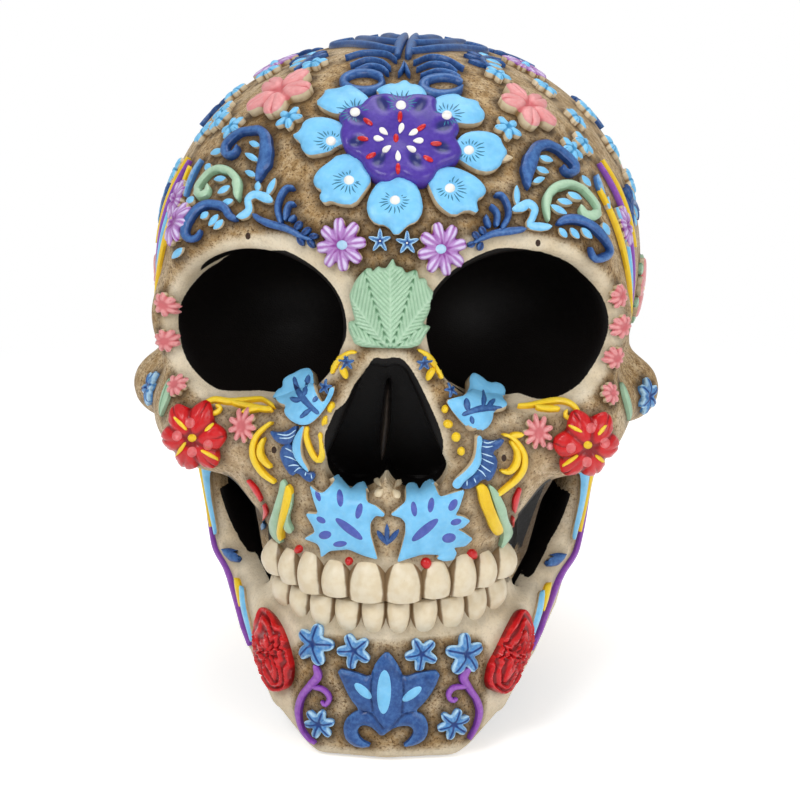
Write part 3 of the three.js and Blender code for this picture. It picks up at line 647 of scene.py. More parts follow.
def runs_left(faces, ring):
    """Whether the top faces lie to the left of a ring that is walked in order."""
    a, b = ring[0], ring[1]
    for face in faces:
        for i, corner in enumerate(face):
            if corner == a and face[(i + 1) % len(face)] == b:
                return True
            if corner == b and face[(i + 1) % len(face)] == a:
                return False
    return True


def settle_piece(piece, nodes=()):
    """Softens a piece up to its sharp edges, hangs it on the root body and hides the model's parts that it
    stands for.
    """
    bpy.ops.object.select_all(action="DESELECT")
    piece.select_set(True)
    bpy.context.view_layer.objects.active = piece
    bpy.ops.object.shade_smooth_by_angle(angle=SHARP_ANGLE)
    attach(piece, "root")
    for node in nodes:
        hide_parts(node)
    return piece


EDGE_SHARE = 0.76
EDGE_WIDTH = 0.7


def edge_round(inset):
    """The share of its height that a plate has at a distance from its edge."""
    return EDGE_SHARE + (1 - EDGE_SHARE) * np.sqrt(ease(inset / EDGE_WIDTH))


def plate(relief, loop, place, height, step=0.45, shape=None, foot=0.8):
    """A raised plate: an outline filled with a net, laid on the bone and lifted by its shape."""
    loop = np.asarray(loop, float)
    plan, faces, ring = filled(loop, step / place.unit)
    inset = edge_gap(plan, loop)[0] * place.unit
    bone, normal = place(plan)
    rise = height * edge_round(inset)
    tone = np.zeros(len(plan))
    if shape:
        more, tone = shape(plan, inset)
        rise = rise + more
    tops = bone + normal * rise[:, None]
    feet = bone[:ring] - normal[:ring] * foot
    relief.add(tops, faces_out(faces, tops, normal), list(range(ring)), feet, tone)
    return relief


def faces_out(faces, tops, normal):
    """The faces, turned so that they look outwards."""
    f = faces[len(faces) // 2]
    face_normal = np.cross(tops[f[1]] - tops[f[0]], tops[f[2]] - tops[f[0]])
    return faces if face_normal @ normal[f[0]] > 0 else [face[::-1] for face in faces]


# Materials
def colour(red, green, blue):
    """A colour written from 0 to 255, as a linear one."""
    channels = [c / 255 for c in (red, green, blue)]
    return tuple(c / 12.92 if c <= 0.04045 else ((c + 0.055) / 1.055) ** 2.4 for c in channels) + (1.0,)


def reckoned(operation, swapped=False):
    """An operator that reckons with wires and numbers by a node."""
    def reckon(wire, other):
        a, b = (other, wire) if swapped else (wire, other)
        return wire.finish.node("ShaderNodeMath", {"operation": operation}, {0: a, 1: b})

    return reckon


class Wire:
    """A node's output that can be reckoned with."""

    def __init__(self, finish, socket):
        self.finish, self.socket = finish, socket

    __add__ = reckoned("ADD")
    __radd__ = reckoned("ADD", True)
    __sub__ = reckoned("SUBTRACT")
    __rsub__ = reckoned("SUBTRACT", True)
    __mul__ = reckoned("MULTIPLY")
    __rmul__ = reckoned("MULTIPLY", True)
    highest = reckoned("MAXIMUM")


class Finish:
    """One material, built node by node."""

    def __init__(self, name):
        self.material = bpy.data.materials.new(name)
        self.material.use_nodes = True
        self.tree = self.material.node_tree
        self.tree.nodes.clear()
        self.place = self.node("ShaderNodeTexCoord", out="Object")

    def node(self, kind, settings=None, inputs=None, out=0):
        node = self.tree.nodes.new(kind)
        for setting, value in (settings or {}).items():
            setattr(node, setting, value)
        for socket, value in (inputs or {}).items():
            if isinstance(value, Wire):
                self.tree.links.new(value.socket, node.inputs[socket])
            else:
                node.inputs[socket].default_value = value
        return Wire(self, node.outputs[out]) if node.outputs else None

    def layer(self, name):
        return self.node("ShaderNodeAttribute", {"attribute_name": name}, out="Fac")

    def noise(self, size, detail=2.0, rough=0.5):
        """Cloudy noise with features of a size in millimetres."""
        return self.node("ShaderNodeTexNoise", None, {
            "Vector": self.place,
            "Scale": 1 / (size * MM),
            "Detail": detail,
            "Roughness": rough,
        })

    def step(self, value, low, high):
        """A smooth step from 0 at low to 1 at high."""
        settings = {"interpolation_type": "SMOOTHSTEP"}
        return self.node("ShaderNodeMapRange", settings, {0: value, 1: low, 2: high, 3: 0.0, 4: 1.0})

    def mix(self, amount, a, b):
        return self.node("ShaderNodeMix", {"data_type": "RGBA"}, {0: amount, 6: a, 7: b}, out=2)

    def bump(self, height, depth):
        """A bump of a depth in millimetres."""
        inputs = {"Height": height, "Distance": depth * MM, "Strength": 1.0}
        return self.node("ShaderNodeBump", None, inputs)

    def close(self, base, rough, bump, coat=0.0, coat_rough=0.1, shine=0.3):
        shader = self.node("ShaderNodeBsdfPrincipled", None, {
            "Base Color": base,
            "Roughness": rough,
            "Normal": bump,
            "Specular IOR Level": shine,
            "Coat Weight": coat,
            "Coat Roughness": coat_rough,
        })
        self.node("ShaderNodeOutputMaterial", None, {"Surface": shader})
        return self.material


CREAM = colour(228, 212, 182)
PALE_CREAM = colour(236, 224, 200)
TAN = colour(190, 157, 107)
BROWN = colour(110, 78, 42)
DARK_BROWN = colour(58, 39, 22)
BLACK = colour(17, 14, 13)


def bone_finish():
    """Cream cast bone with a brown wash rubbed into its fields, dark brown painted shade round the feet of
    the ornament and teeth and in the gaps beside the jaw, and satin black in its hollows.
    """
    f = Finish("cast_bone")
    patches = f.noise(12, 4.0, 0.6)
    cloud = f.noise(2.2, 4.0, 0.7)
    specks = f.noise(0.7, 3.0, 0.7)
    grain = f.noise(0.35, 2.0)
    wash, near, black = f.layer("wash"), f.layer("near"), f.layer("black")
    clean = f.mix(f.step(patches, 0.35, 0.65), PALE_CREAM, CREAM)
    rubbed = wash * (0.66 + 0.34 * f.step(patches * 0.4 + cloud * 0.6, 0.42, 0.6))
    base = f.mix(rubbed, clean, TAN)
    base = f.mix(wash * f.step(cloud * 0.7 + patches * 0.3, 0.44, 0.66) * 0.6, base, BROWN)
    base = f.mix(wash * f.step(specks, 0.48, 0.62) * 0.75, base, BROWN)
    base = f.mix(wash * f.step(specks, 0.6, 0.69) * 0.85, base, DARK_BROWN)
    # Dark brown painted shade where the near layer is small: round the feet of the ornament and teeth and in
    # the gaps beside the jaw, deeper where the wash is.
    painted_shade = 1 - f.step(near + (cloud - 0.5) * 4.0, 0.0, 3.4)
    base = f.mix(painted_shade * (0.25 + wash * 0.6), base, DARK_BROWN)
    painted = f.step(black + (specks - 0.5) * 0.35, -0.1, 0.1)
    base = f.mix(painted, base, BLACK)
    rough = 0.52 + (cloud - 0.5) * 0.25 - painted * 0.06
    bump = f.bump(grain * 0.5 + cloud * (0.3 + wash * 0.7) + specks * wash, 0.22)
    return f.close(base, rough, bump, shine=0.14)


def tooth_finish():
    """Cream teeth with brown rubbed into the necks and seams."""
    f = Finish("cast_tooth")
    cloud = f.noise(2.6, 3.0)
    specks = f.noise(0.7, 3.0, 0.7)
    near = f.layer("seam")
    base = f.mix(f.step(cloud, 0.35, 0.7), colour(234, 221, 194), colour(226, 209, 176))
    base = f.mix(f.step(near + (cloud - 0.5) * 0.4, 0.2, 0.75) * 0.9, base, colour(116, 86, 48))
    base = f.mix(f.step(specks, 0.72, 0.78) * 0.5, base, BROWN)
    rough = 0.4 + (cloud - 0.5) * 0.2
    return f.close(base, rough, f.bump(cloud * 0.7 + specks * 0.3, 0.14), 0.2, 0.3)


def paint_finish(name, main, dark, light, gloss=0.1, streak=0.3):
    """Brushed paint on cast ornament, darker in its folds and lighter on its ridges."""
    main, dark, light = (colour(*shade) for shade in (main, dark, light))
    f = Finish(name)
    tone = f.layer("tone")
    brush = f.noise(1.1, 3.0, 0.6)
    cloud = f.noise(4.0, 2.0)
    base = f.mix(f.step(brush, 0.35, 0.75) * streak, main, light)
    base = f.mix(f.step(cloud, 0.4, 0.8) * streak, base, dark)
    base = f.mix(f.step((0 - tone) + (brush - 0.5) * 0.5, 0.12, 0.9), base, dark)
    base = f.mix(f.step(tone + (brush - 0.5) * 0.5, 0.12, 0.9), base, light)
    rough = 0.36 + (brush - 0.5) * 0.22
    bump = f.bump(brush * 0.7 + f.noise(0.4, 2.0) * 0.3, 0.1)
    return f.close(base, rough, bump, gloss, 0.16)


BONE = bone_finish()
TOOTH = tooth_finish()
SKY = paint_finish("sky_blue_paint", (126, 203, 248), (60, 140, 190), (165, 222, 252))
DEEP = paint_finish("deep_blue_paint", (38, 78, 142), (20, 42, 92), (84, 132, 192), streak=0.5)
MID = paint_finish("mid_blue_paint", (74, 138, 202), (22, 58, 124), (178, 218, 244), streak=0.4)
VIOLET = paint_finish("violet_paint", (74, 48, 156), (30, 36, 108), (108, 84, 188), gloss=0.25)
PURPLE = paint_finish("purple_paint", (142, 72, 178), (84, 40, 128), (176, 118, 204))
LILAC = paint_finish("lilac_paint", (182, 132, 200), (136, 56, 146), (220, 206, 240))
MINT = paint_finish("mint_paint", (168, 204, 172), (110, 152, 118), (194, 222, 194))
YELLOW = paint_finish("yellow_paint", (246, 206, 34), (214, 150, 16), (252, 224, 84))
RED = paint_finish("red_paint", (206, 18, 24), (134, 8, 14), (224, 56, 58), gloss=0.3)
PINK = paint_finish("pink_paint", (232, 154, 154), (206, 108, 112), (242, 190, 190))
WHITE = paint_finish("white_paint", (244, 242, 236), (214, 206, 190), (250, 249, 246))
BLUSH = paint_finish("blush_paint", (222, 96, 98), (196, 50, 54), (240, 160, 158), gloss=0.3)
TEAL = paint_finish("teal_line_paint", (46, 116, 148), (24, 70, 96), (72, 150, 184))
# Dark paint that stands for the shade inside the pin holes
HOLE_SHADE = paint_finish("painted_hole_shade", (52, 32, 20), (26, 16, 10), (84, 56, 34), gloss=0.0)
SATIN = paint_finish("satin_black", (24, 20, 18), (14, 12, 11), (60, 50, 44))
CAST = paint_finish("cast_trim", (224, 206, 172), (150, 118, 76), (234, 220, 194))


# Shapes of relief
LEAF_POINTS = 12
CURVE_POINTS = 12


def leaf_loop(base, tip, width, belly, ends):
    """Outline of a leaf, drop or oval between two points."""
    base, tip = np.asarray(base, float), np.asarray(tip, float)
    along = tip - base
    across = np.array((-along[1], along[0])) / np.linalg.norm(along)
    t = (1 - np.cos(np.linspace(0, math.pi, LEAF_POINTS))) / 2
    half = width / 2 * np.sin(math.pi * t ** (math.log(0.5) / math.log(belly))) ** ends
    one = base + t[:, None] * along + half[:, None] * across
    other = base + t[:, None] * along - half[:, None] * across
    return np.vstack((one, other[-2:0:-1]))


def smooth_path(path, step):
    """A smooth curve through points, at even steps."""
    p = np.asarray(path, float)
    p = np.vstack((2 * p[0] - p[1], p, 2 * p[-1] - p[-2]))
    t = np.linspace(0, 1, CURVE_POINTS, endpoint=False)[:, None]
    runs = []
    for a, b, c, d in zip(p, p[1:], p[2:], p[3:]):
        bend = (2 * a - 5 * b + 4 * c - d) * t ** 2 + (3 * b - 3 * c + d - a) * t ** 3
        runs.append((2 * b + (c - a) * t + bend) / 2)
    return resampled(np.vstack(runs + [p[-2:-1]]), step, 4, False)


MOST_DRAWN_OUT = 1.6
LEAST_END_SHARE = 0.06
BAND_FULLNESS = 0.96


def band(relief, path, widths, height, place=None, step=0.5, lanes=6, ridge=0.35, foot=0.8, scallop=None):
    """A raised band with a rounded top along a path.

    Widths are in sheet units or millimetres, from start to end. A scallop swells one side of it: how many
    times, how much, and the sign of that side.
    """
    place = place or on_sheet
    middle = smooth_path(path, step / place.unit)
    t = np.linspace(0, 1, len(middle))
    half = np.interp(t, np.linspace(0, 1, len(widths)), widths) / 2
    end_gap = np.minimum(t, 1 - t) * len(middle) * step / place.unit
    half = half * np.sqrt(np.clip(end_gap / half, LEAST_END_SHARE, 1))
    way = np.gradient(middle, axis=0)
    across = np.stack((-way[:, 1], way[:, 0]), 1) / lengths(way)[:, None]
    lane = np.linspace(-1, 1, lanes + 1)
    reach = np.repeat(half[:, None], lanes + 1, 1) * lane
    if scallop:
        count, depth, side = scallop
        swell = 1 + depth * np.abs(np.sin(math.pi * count * t))
        reach = np.where(lane * side > 0, reach * swell[:, None], reach)
    plan = (middle[:, None] + across[:, None] * reach[..., None]).reshape(-1, 2)
    bone, normal = place(plan)
    edges = bone.reshape(len(middle), lanes + 1, 3)
    drawn_out = lengths(edges[:, 0] - edges[:, -1]) / (2 * half * place.unit)
    if drawn_out.max() > MOST_DRAWN_OUT:
        reach = reach * np.minimum(1, MOST_DRAWN_OUT / drawn_out)[:, None]
        plan = (middle[:, None] + across[:, None] * reach[..., None]).reshape(-1, 2)
        bone, normal = place(plan)
    crown = np.tile(np.sqrt(np.clip(1 - BAND_FULLNESS * lane ** 2, 0, 1)), len(middle))
    rise = height * (1 - ridge + ridge * crown)
    tops = bone + normal * rise[:, None]
    tone = np.tile(0.5 * (1 - lane ** 2) - 0.35 * lane ** 6, len(middle))
    n = lanes + 1
    faces = [
        (i * n + j, (i + 1) * n + j, (i + 1) * n + j + 1, i * n + j + 1)
        for i in range(len(middle) - 1) for j in range(lanes)
    ]
    last = (len(middle) - 1) * n
    ring = (
        list(range(0, last, n)) + list(range(last, last + lanes))
        + list(range(last + lanes, lanes, -n)) + list(range(lanes, 0, -1))
    )
    feet = bone[ring] - normal[ring] * foot
    relief.add(tops, faces_out(faces, tops, normal), ring, feet, tone)
    return relief


STROKE_HEIGHT = 0.06
OVAL_POINTS = 40
VEIN_HALF = 0.45
LEAF_DOME = 0.25
PETAL_POINTS = 22
STAR_ARMS = 5
STAR_TURN = 90.0


def stroke(relief, path, width, place):
    """A thin painted line on what is already there, with pointed ends."""
    widths = (width * 0.5, width, width * 0.4)
    return band(relief, path, widths, STROKE_HEIGHT, place, step=0.4, lanes=2, ridge=0.6, foot=0.15)


def oval(relief, middle, half_across, half_along, tip, height, place=None):
    """A domed oval, its long way turned from up by an angle."""
    place = place or on_sheet
    angle = np.linspace(0, 2 * math.pi, OVAL_POINTS, endpoint=False)
    turn = math.radians(tip)
    u, v = half_across * np.cos(angle), half_along * np.sin(angle)
    loop = np.asarray(middle, float) + np.stack((
        u * math.cos(turn) + v * math.sin(turn), u * math.sin(turn) - v * math.cos(turn),
    ), 1)
    small = min(half_across, half_along) * place.unit

    def shape(plan, inset):
        part = np.clip(inset / small, 0, 1)
        dome = np.sqrt(1 - (1 - part) ** 2)
        return height * (dome - edge_round(inset)), np.zeros(len(plan))

    return plate(relief, loop, place, height, min(0.3, small / 3), shape, foot=0.3)


def leaf(relief, base, tip, width, height, place=None, belly=0.5, ends=0.75, step=0.36, vein=0.0):
    """A domed leaf with an optional vein pressed along its middle."""
    place = place or on_sheet
    base, tip = np.asarray(base, float), np.asarray(tip, float)
    way = (tip - base) / np.linalg.norm(tip - base)

    def shape(plan, inset):
        off = np.abs((plan - base) @ np.array((-way[1], way[0]))) * place.unit
        groove = 1 - ease(off / VEIN_HALF)
        dome = LEAF_DOME * ease(inset / (width * place.unit / 2))
        return dome - vein * groove, -groove * (vein > 0)

    return plate(relief, leaf_loop(base, tip, width, belly, ends), place, height, step, shape)


def flower(relief, place, radius, petals, height, turn=0.0, notch=0.5, broad=1.6, crease=0.6, dome=0.4,
           dish=0.3, style="fold", step=0.4):
    """A flower round the middle of a patch. Its style says where the paint goes dark and light."""
    turn = math.radians(turn)
    angle = np.linspace(0, 2 * math.pi, petals * PETAL_POINTS, endpoint=False)
    reach = radius * (1 - notch * np.abs(np.sin(petals / 2 * (angle - turn))) ** broad)
    loop = np.stack((reach * np.cos(angle), reach * np.sin(angle)), 1)

    def shape(plan, inset):
        x, y = plan.T
        far = np.hypot(x, y)
        local = (np.arctan2(y, x) - turn) * petals / (2 * math.pi)
        local = (local - np.round(local)) * 2 * math.pi / petals
        middle_gap = far * np.abs(np.sin(local))
        seam_gap = far * np.abs(np.sin(math.pi / petals - np.abs(local)))
        seam = 1 - ease(seam_gap / (0.11 * radius + 0.25))
        vein = (1 - ease(middle_gap / (0.05 * radius + 0.2))) * ease(far / (0.35 * radius))
        core = 1 - ease(far / (0.34 * radius))
        rise = dome * ease(inset / (0.3 * radius)) - crease * seam - dish * core
        if style == "fold":
            rays = ease((np.cos(4 * petals * local) - 0.5) / 0.5) * ease(far / radius - 0.3)
            rays = rays * (1 - seam) * ease(inset / 0.8)
            rise = rise - 0.3 * crease * vein - 0.35 * rays
            tone = -seam - 0.7 * core - 0.5 * vein - 1.2 * rays + 0.3 * ease(inset / 1.2)
        elif style == "edge":
            rise = rise - 0.5 * crease * vein
            tone = 1.1 * (1 - ease(inset / 0.75)) - 1.2 * vein - core
        elif style == "strip":
            rise = rise - 0.4 * crease * vein
            tone = 0.85 - 1.5 * vein - 1.3 * seam - 0.9 * (1 - ease(inset / 0.55))
        return rise, tone

    return plate(relief, loop, place, height, step, shape)


def star(relief, place, radius, height):
    """A small star with a pressed line along each arm."""
    return flower(relief, place, radius, STAR_ARMS, height, STAR_TURN, notch=0.62, broad=1.05, crease=0.2,
                  dome=0.1, dish=0.0, style="edge", step=0.32)


# Outlines of the hollows and of the washed fields on the sheet, and the black paint in the hollows
LEFT_ORBIT = (
    (280, 250), (254, 252), (236, 255), (221, 261), (207, 269), (194, 282), (184, 296), (179, 309),
    (178, 322), (180, 337), (184, 355), (192, 368), (203, 380), (216, 389), (226, 391), (254, 391),
    (271, 389), (286, 380), (305, 370), (324, 365), (335, 357), (344, 345), (349, 324), (349, 311),
    (345, 296), (336, 282), (323, 268), (308, 257), (296, 251),
)
RIGHT_ORBIT = (
    (427, 300), (432, 277), (447, 262), (470, 253), (500, 247), (535, 250), (565, 260), (590, 280),
    (605, 300), (610, 325), (602, 350), (590, 371), (578, 386), (557, 398), (540, 400), (523, 395),
    (504, 387), (487, 384), (466, 374), (447, 361), (433, 342),
)
NOSE_OPENING = (
    (380, 355), (373, 358), (367, 368), (356, 382), (352, 388), (348, 399), (342, 406), (334, 411),
    (329, 419), (325, 433), (324, 445), (327, 459), (334, 469), (345, 476), (356, 479), (367, 476),
    (377, 470), (385, 471), (393, 468), (406, 475), (415, 479), (430, 479), (436, 474), (441, 460),
    (444, 445), (441, 431), (435, 416), (428, 401), (421, 386), (414, 373), (407, 363), (400, 357),
)
JAW_FIELD = (
    (294, 640), (330, 636), (360, 640), (388, 643), (420, 641), (450, 636), (486, 638), (489, 670),
    (486, 702), (478, 738), (450, 747), (388, 750), (330, 748), (310, 742), (295, 715), (290, 680),
)
GUM_FIELD = (
    (252, 556), (300, 540), (345, 556), (388, 548), (430, 558), (475, 545), (522, 560), (512, 650),
    (262, 650),
)
SIDE_GAPS = (
    (
        (226, 464), (235, 465), (246, 479), (256, 500), (261, 518), (257, 539), (242, 528), (235, 516),
        (229, 490),
    ),
    (
        (556, 471), (520, 489), (518, 511), (517, 528), (522, 576), (531, 578), (541, 560), (548, 546),
        (552, 521),
    ),
)

# Limits of the black paint: how deep it starts and ends, and how far it reaches past a hollow's wall
MOST_BLACK = 6.0
PAST_WALL = 3.0
ORBIT_NEAR = 4.0
ORBIT_BLACK_DEPTH = 6.0
ORBIT_AWAY_DEPTH = -8.0
AWAY_COSINE = 0.12
AWAY_SCALE = 10.0
NOSE_BLACK_Y = FACE_Y + 10
NOSE_END_Y = FACE_Y + 30
THROAT_TOP_Z = 82.0
THROAT_FRONT_Y = FACE_Y + 26
THROAT_BACK_Y = -8.0
THROAT_HALF_WIDTH = 46.0
GAP_FRONT_Y = -68.0
GAP_BACK_Y = -6.0
GAP_SHADE_BACK_Y = 14.0
JAW_GAP_BACK_Y = 40.0
GAP_FACING_SCALE = 4.0
JAW_INSIDE_Y = -34.0
JAW_INSIDE_TOP_Z = 60.0
JAW_INSIDE_REACH = 30.0
JAW_INSIDE_COSINE = 0.25
JAW_INSIDE_SCALE = 3.0


def signed_gap(sheet, loop):
    """Distance in millimetres to an outline on the sheet, positive inside it."""
    gap, within = edge_gap(sheet, softened(loop))
    return np.where(within, gap, -gap) * SHEET_UNIT


def rim_gap(sheet):
    """Distance in millimetres to the rim of the nearer orbit on the sheet, positive inside it."""
    return np.maximum(signed_gap(sheet, LEFT_ORBIT), signed_gap(sheet, RIGHT_ORBIT))


def black_of_cranium(points, sheet):
    """The orbits, the nose opening, the throat and the gaps beside the jaw are black."""
    x, y, z = points.T
    wall = orbit_field(x, y, z)
    depth = turned(np.abs(x), y, z, ORBIT_CENTRE, ORBIT_TURN, ORBIT_DROOP)[1]
    near = wall < ORBIT_NEAR
    away = np.full(len(points), -MOST_BLACK)
    facing = outward(points[near]) @ EYE_BACK
    away[near] = np.minimum(depth[near] - ORBIT_AWAY_DEPTH, AWAY_SCALE * (AWAY_COSINE - facing))
    orbit = np.maximum.reduce((rim_gap(sheet), depth - ORBIT_BLACK_DEPTH, away))
    orbit = np.minimum(orbit, PAST_WALL - wall)
    nose = np.maximum(signed_gap(sheet, NOSE_OPENING), y - NOSE_BLACK_Y)
    nose = np.minimum.reduce((nose, PAST_WALL - nose_field(x, z), NOSE_END_Y - y))
    throat = np.minimum.reduce((
        THROAT_TOP_Z - z, y - THROAT_FRONT_Y, THROAT_BACK_Y - y, THROAT_HALF_WIDTH - np.abs(x),
    ))
    gaps = black_of_gaps(points, sheet, GAP_BACK_Y)
    return np.clip(np.maximum.reduce((orbit, nose, throat, gaps)), -MOST_BLACK, MOST_BLACK)


def black_of_gaps(points, sheet, back_y):
    """The dark between the upper jaw and the jaw's branches."""
    gaps = np.maximum(*[signed_gap(sheet, loop) for loop in SIDE_GAPS])
    close = gaps > -1
    facing = outward(points[close]) @ EYE_BACK
    gaps[close] = np.minimum(gaps[close], GAP_FACING_SCALE * facing)
    return np.minimum.reduce((gaps, points[:, 1] - GAP_FRONT_Y, back_y - points[:, 1]))


def black_of_jaw(points):
    """The inside of the jaw's arch is black, and so are the gaps beside it."""
    out = outward(points)
    inner = -(out[:, 0] * points[:, 0] + out[:, 1] * (points[:, 1] - JAW_INSIDE_Y)) / JAW_INSIDE_REACH
    low = points[:, 2] < JAW_INSIDE_TOP_Z
    inside = np.where(low, (inner - JAW_INSIDE_COSINE) * JAW_INSIDE_SCALE, -JAW_INSIDE_SCALE)
    return np.maximum(inside, black_of_gaps(points, to_sheet(points), JAW_GAP_BACK_Y))


cranium_black = black_of_cranium(cranium_points, to_sheet(cranium_points))
jaw_black = black_of_jaw(jaw_points)


def bare(points, faces, black):
    """The faces of a bone that take no black paint."""
    return points, faces[black[faces].max(1) < 0]


bare_bone = [
    bare(cranium_points, cranium_faces, cranium_black),
    bare(jaw_points, jaw_faces, jaw_black),
]
bare_tree = tree_of(*bare_bone)
on_sheet = OnSheet(bare_tree)


def patch(point, tree=None):
    """A patch about the place of a drawn point."""
    middle = on_sheet(np.array([point], float))[0][0]
    return OnPatch(middle, tree or bare_tree)


# Shapes that repeat in a relief
def plates(relief, loops, rounds, height, step):
    for loop in loops:
        plate(relief, softened(loop, rounds), on_sheet, height, step)
    return relief


def bands(relief, paths, widths, height, place=None, **form):
    for path in paths:
        band(relief, path, widths, height, place, **form)
    return relief


def leaves(relief, ends, width, height, place=None, **form):
    for base, tip in ends:
        leaf(relief, base, tip, width, height, place, **form)
    return relief


def flowers(relief, points, radius, petals, height, turn, turn_step, **form):
    """Flowers about drawn points, each turned further than the one before it."""
    for n, point in enumerate(points):
        flower(relief, patch(point), radius, petals, height, turn + turn_step * n, **form)
    return relief


def dots(relief, points, across, along, tip, height, place=None):
    """Ovals of one size about drawn points."""
    for point in points:
        oval(relief, point, across, along, tip, height, place)
    return relief


def ovals(relief, rows, height, place=None):
    """Ovals that each have their own place, half sizes and tip."""
    for x, y, across, along, tip in rows:
        oval(relief, (x, y), across, along, tip, height, place)
    return relief


# Forehead flower
FLOWER_MIDDLE = (398, 142)
FOREHEAD_PETALS = (
    (
        (376, 97), (380, 93), (390, 89), (396, 90), (405, 85), (410, 90), (416, 90), (423, 94),
        (427, 102), (402, 122),
    ),
    (
        (433, 104), (443, 100), (455, 99), (461, 103), (476, 106), (477, 111), (483, 118), (481, 126),
        (469, 129), (454, 127), (424, 120),
    ),
    (
        (454, 146), (461, 138), (472, 135), (487, 136), (497, 141), (500, 149), (505, 156), (500, 163),
        (497, 171), (487, 176), (475, 174), (463, 167), (440, 150),
    ),
    (
        (436, 172), (449, 170), (462, 174), (476, 182), (484, 192), (483, 199), (474, 203), (477, 217),
        (465, 212), (452, 219), (439, 211), (431, 200), (418, 162),
    ),
    (
        (378, 187), (390, 181), (401, 181), (414, 187), (420, 199), (422, 214), (416, 224), (408, 226),
        (396, 238), (388, 227), (376, 226), (369, 219), (367, 209), (371, 197),
    ),
    (
        (340, 158), (360, 158), (366, 172), (373, 184), (365, 196), (356, 208), (343, 208), (333, 204),
        (326, 207), (321, 201), (325, 194), (317, 191), (315, 183), (321, 173), (331, 166),
    ),
    (
        (294, 140), (303, 135), (306, 126), (315, 122), (328, 122), (340, 126), (356, 134), (348, 146),
        (336, 151), (332, 155), (320, 158), (310, 159), (304, 153), (303, 146),
    ),
    (
        (317, 108), (326, 100), (327, 95), (340, 94), (350, 90), (358, 94), (370, 103), (376, 116),
        (362, 120), (343, 118), (337, 119), (327, 115),
    ),
)
PETAL_DOTS = ((401, 105), (447, 115), (469, 150), (450, 188), (395, 200), (349, 180), (331, 141), (355, 112))
ROSETTE = (
    (402, 106), (389, 102), (376, 103), (367, 108), (362, 114), (349, 116), (342, 121), (341, 127),
    (345, 132), (342, 138), (343, 146), (346, 154), (353, 162), (363, 167), (367, 177), (376, 186),
    (389, 189), (399, 182), (408, 187), (419, 190), (430, 187), (436, 175), (446, 171), (456, 167),
    (460, 158), (456, 149), (452, 143), (457, 138), (456, 131), (449, 122), (436, 121), (434, 114),
    (436, 107), (424, 103), (411, 103),
)
ROSETTE_HOLLOWS = (
    (383, 114), (419, 115), (441, 135), (439, 155), (414, 169), (380, 168), (359, 150), (359, 127),
)
ROSETTE_DASHES = (
    (400, 117), (421, 128), (436, 144), (428, 159), (398, 169), (371, 156), (363, 139), (368, 122),
)
ROSETTE_DROPS = (
    (401, 129), (413, 133), (418, 141), (411, 149), (398, 156), (387, 149), (379, 139), (384, 132),
)
PETAL_HEIGHT = 2.4
ROSETTE_HEIGHT = 3.6


def forehead_petals():
    relief = Relief()
    for petal, dot in zip(FOREHEAD_PETALS, PETAL_DOTS):
        dot = np.array(dot, float)

        def shape(plan, inset, dot=dot):
            far = lengths(plan - dot) * SHEET_UNIT
            cup = 1 - ease(far / 4.5)
            return 0.35 * ease(inset / 2.5) - 0.45 * cup, -0.35 * cup

        plate(relief, softened(petal), on_sheet, PETAL_HEIGHT, 0.45, shape)
    return relief


def forehead_rosette():
    middle = np.array(FLOWER_MIDDLE, float)
    hollows = np.array(ROSETTE_HOLLOWS, float)

    def shape(plan, inset):
        out = (hollows - middle) / lengths(hollows - middle)[:, None]
        off = plan[:, None] - hollows
        along = (off * out).sum(2) * SHEET_UNIT / 2.9
        across = (off[..., 0] * out[:, 1] - off[..., 1] * out[:, 0]) * SHEET_UNIT / 1.9
        pit = 1 - ease(np.hypot(along, across).min(1) / 1.15)
        far = lengths(plan - middle) * SHEET_UNIT
        cup = 1 - ease(far / 5.5)
        return 0.55 * ease(inset / 1.6) - 0.8 * pit - 0.7 * cup, -1.3 * pit

    return plate(Relief(), softened(ROSETTE, 2), on_sheet, ROSETTE_HEIGHT, 0.42, shape)


# Crown scrolls: on the sheet a ring, a bud and arcs on each side, and over the top a stem with fronds, in
# millimetres across from the crown's middle and back from the front of the skull's middle
CROWN_RINGS = {"left": (364, 84, 20, 9), "right": (442, 88, 20, 8.5)}
CROWN_BLOBS = {"left": (382, 83), "right": (426, 86)}
CROWN_ARCS = {
    "left": (
        ((346, 61), (364, 56), (386, 57), (397, 64)), ((351, 69), (367, 63), (382, 65), (391, 72)),
        ((356, 74), (370, 69), (382, 71), (389, 77)), ((398, 78), (402, 72), (404, 66)),
    ),
    "right": (
        ((413, 66), (430, 60), (447, 63), (463, 72)), ((416, 73), (431, 67), (447, 69), (456, 76)),
        ((420, 79), (436, 74), (450, 76), (459, 81)), ((410, 79), (407, 73), (405, 68)),
    ),
}
CROWN_MIDDLE_X = 2.4
CROWN_FRONDS = (
    ((1.6, -30), (6, -25), (11, -16), (16, -4), (21, 6), (20, 12), (16.5, 12), (16, 8)),
    ((1.6, -17), (5.5, -11), (9.5, -1), (12.5, 12), (15, 22), (13, 27), (9.5, 25)),
    ((1.6, -2), (4, 6), (5.5, 16), (8, 27), (6, 33), (3, 31)), ((1.4, -36), (1.6, -20), (1.6, 0), (1.5, 24)),
)
CROWN_FROND_WIDTHS = (1.6, 2.6, 3.0, 2.8, 2.4, 1.6)
CROWN_RING_WIDTHS = (7, 9, 9, 8, 7)
CROWN_ARC_WIDTHS = (2.4, 3.6, 4.2, 3.6)
CROWN_HEIGHT = 1.7
OVER_CROWN_Z = VAULT_TOP_Z + 30


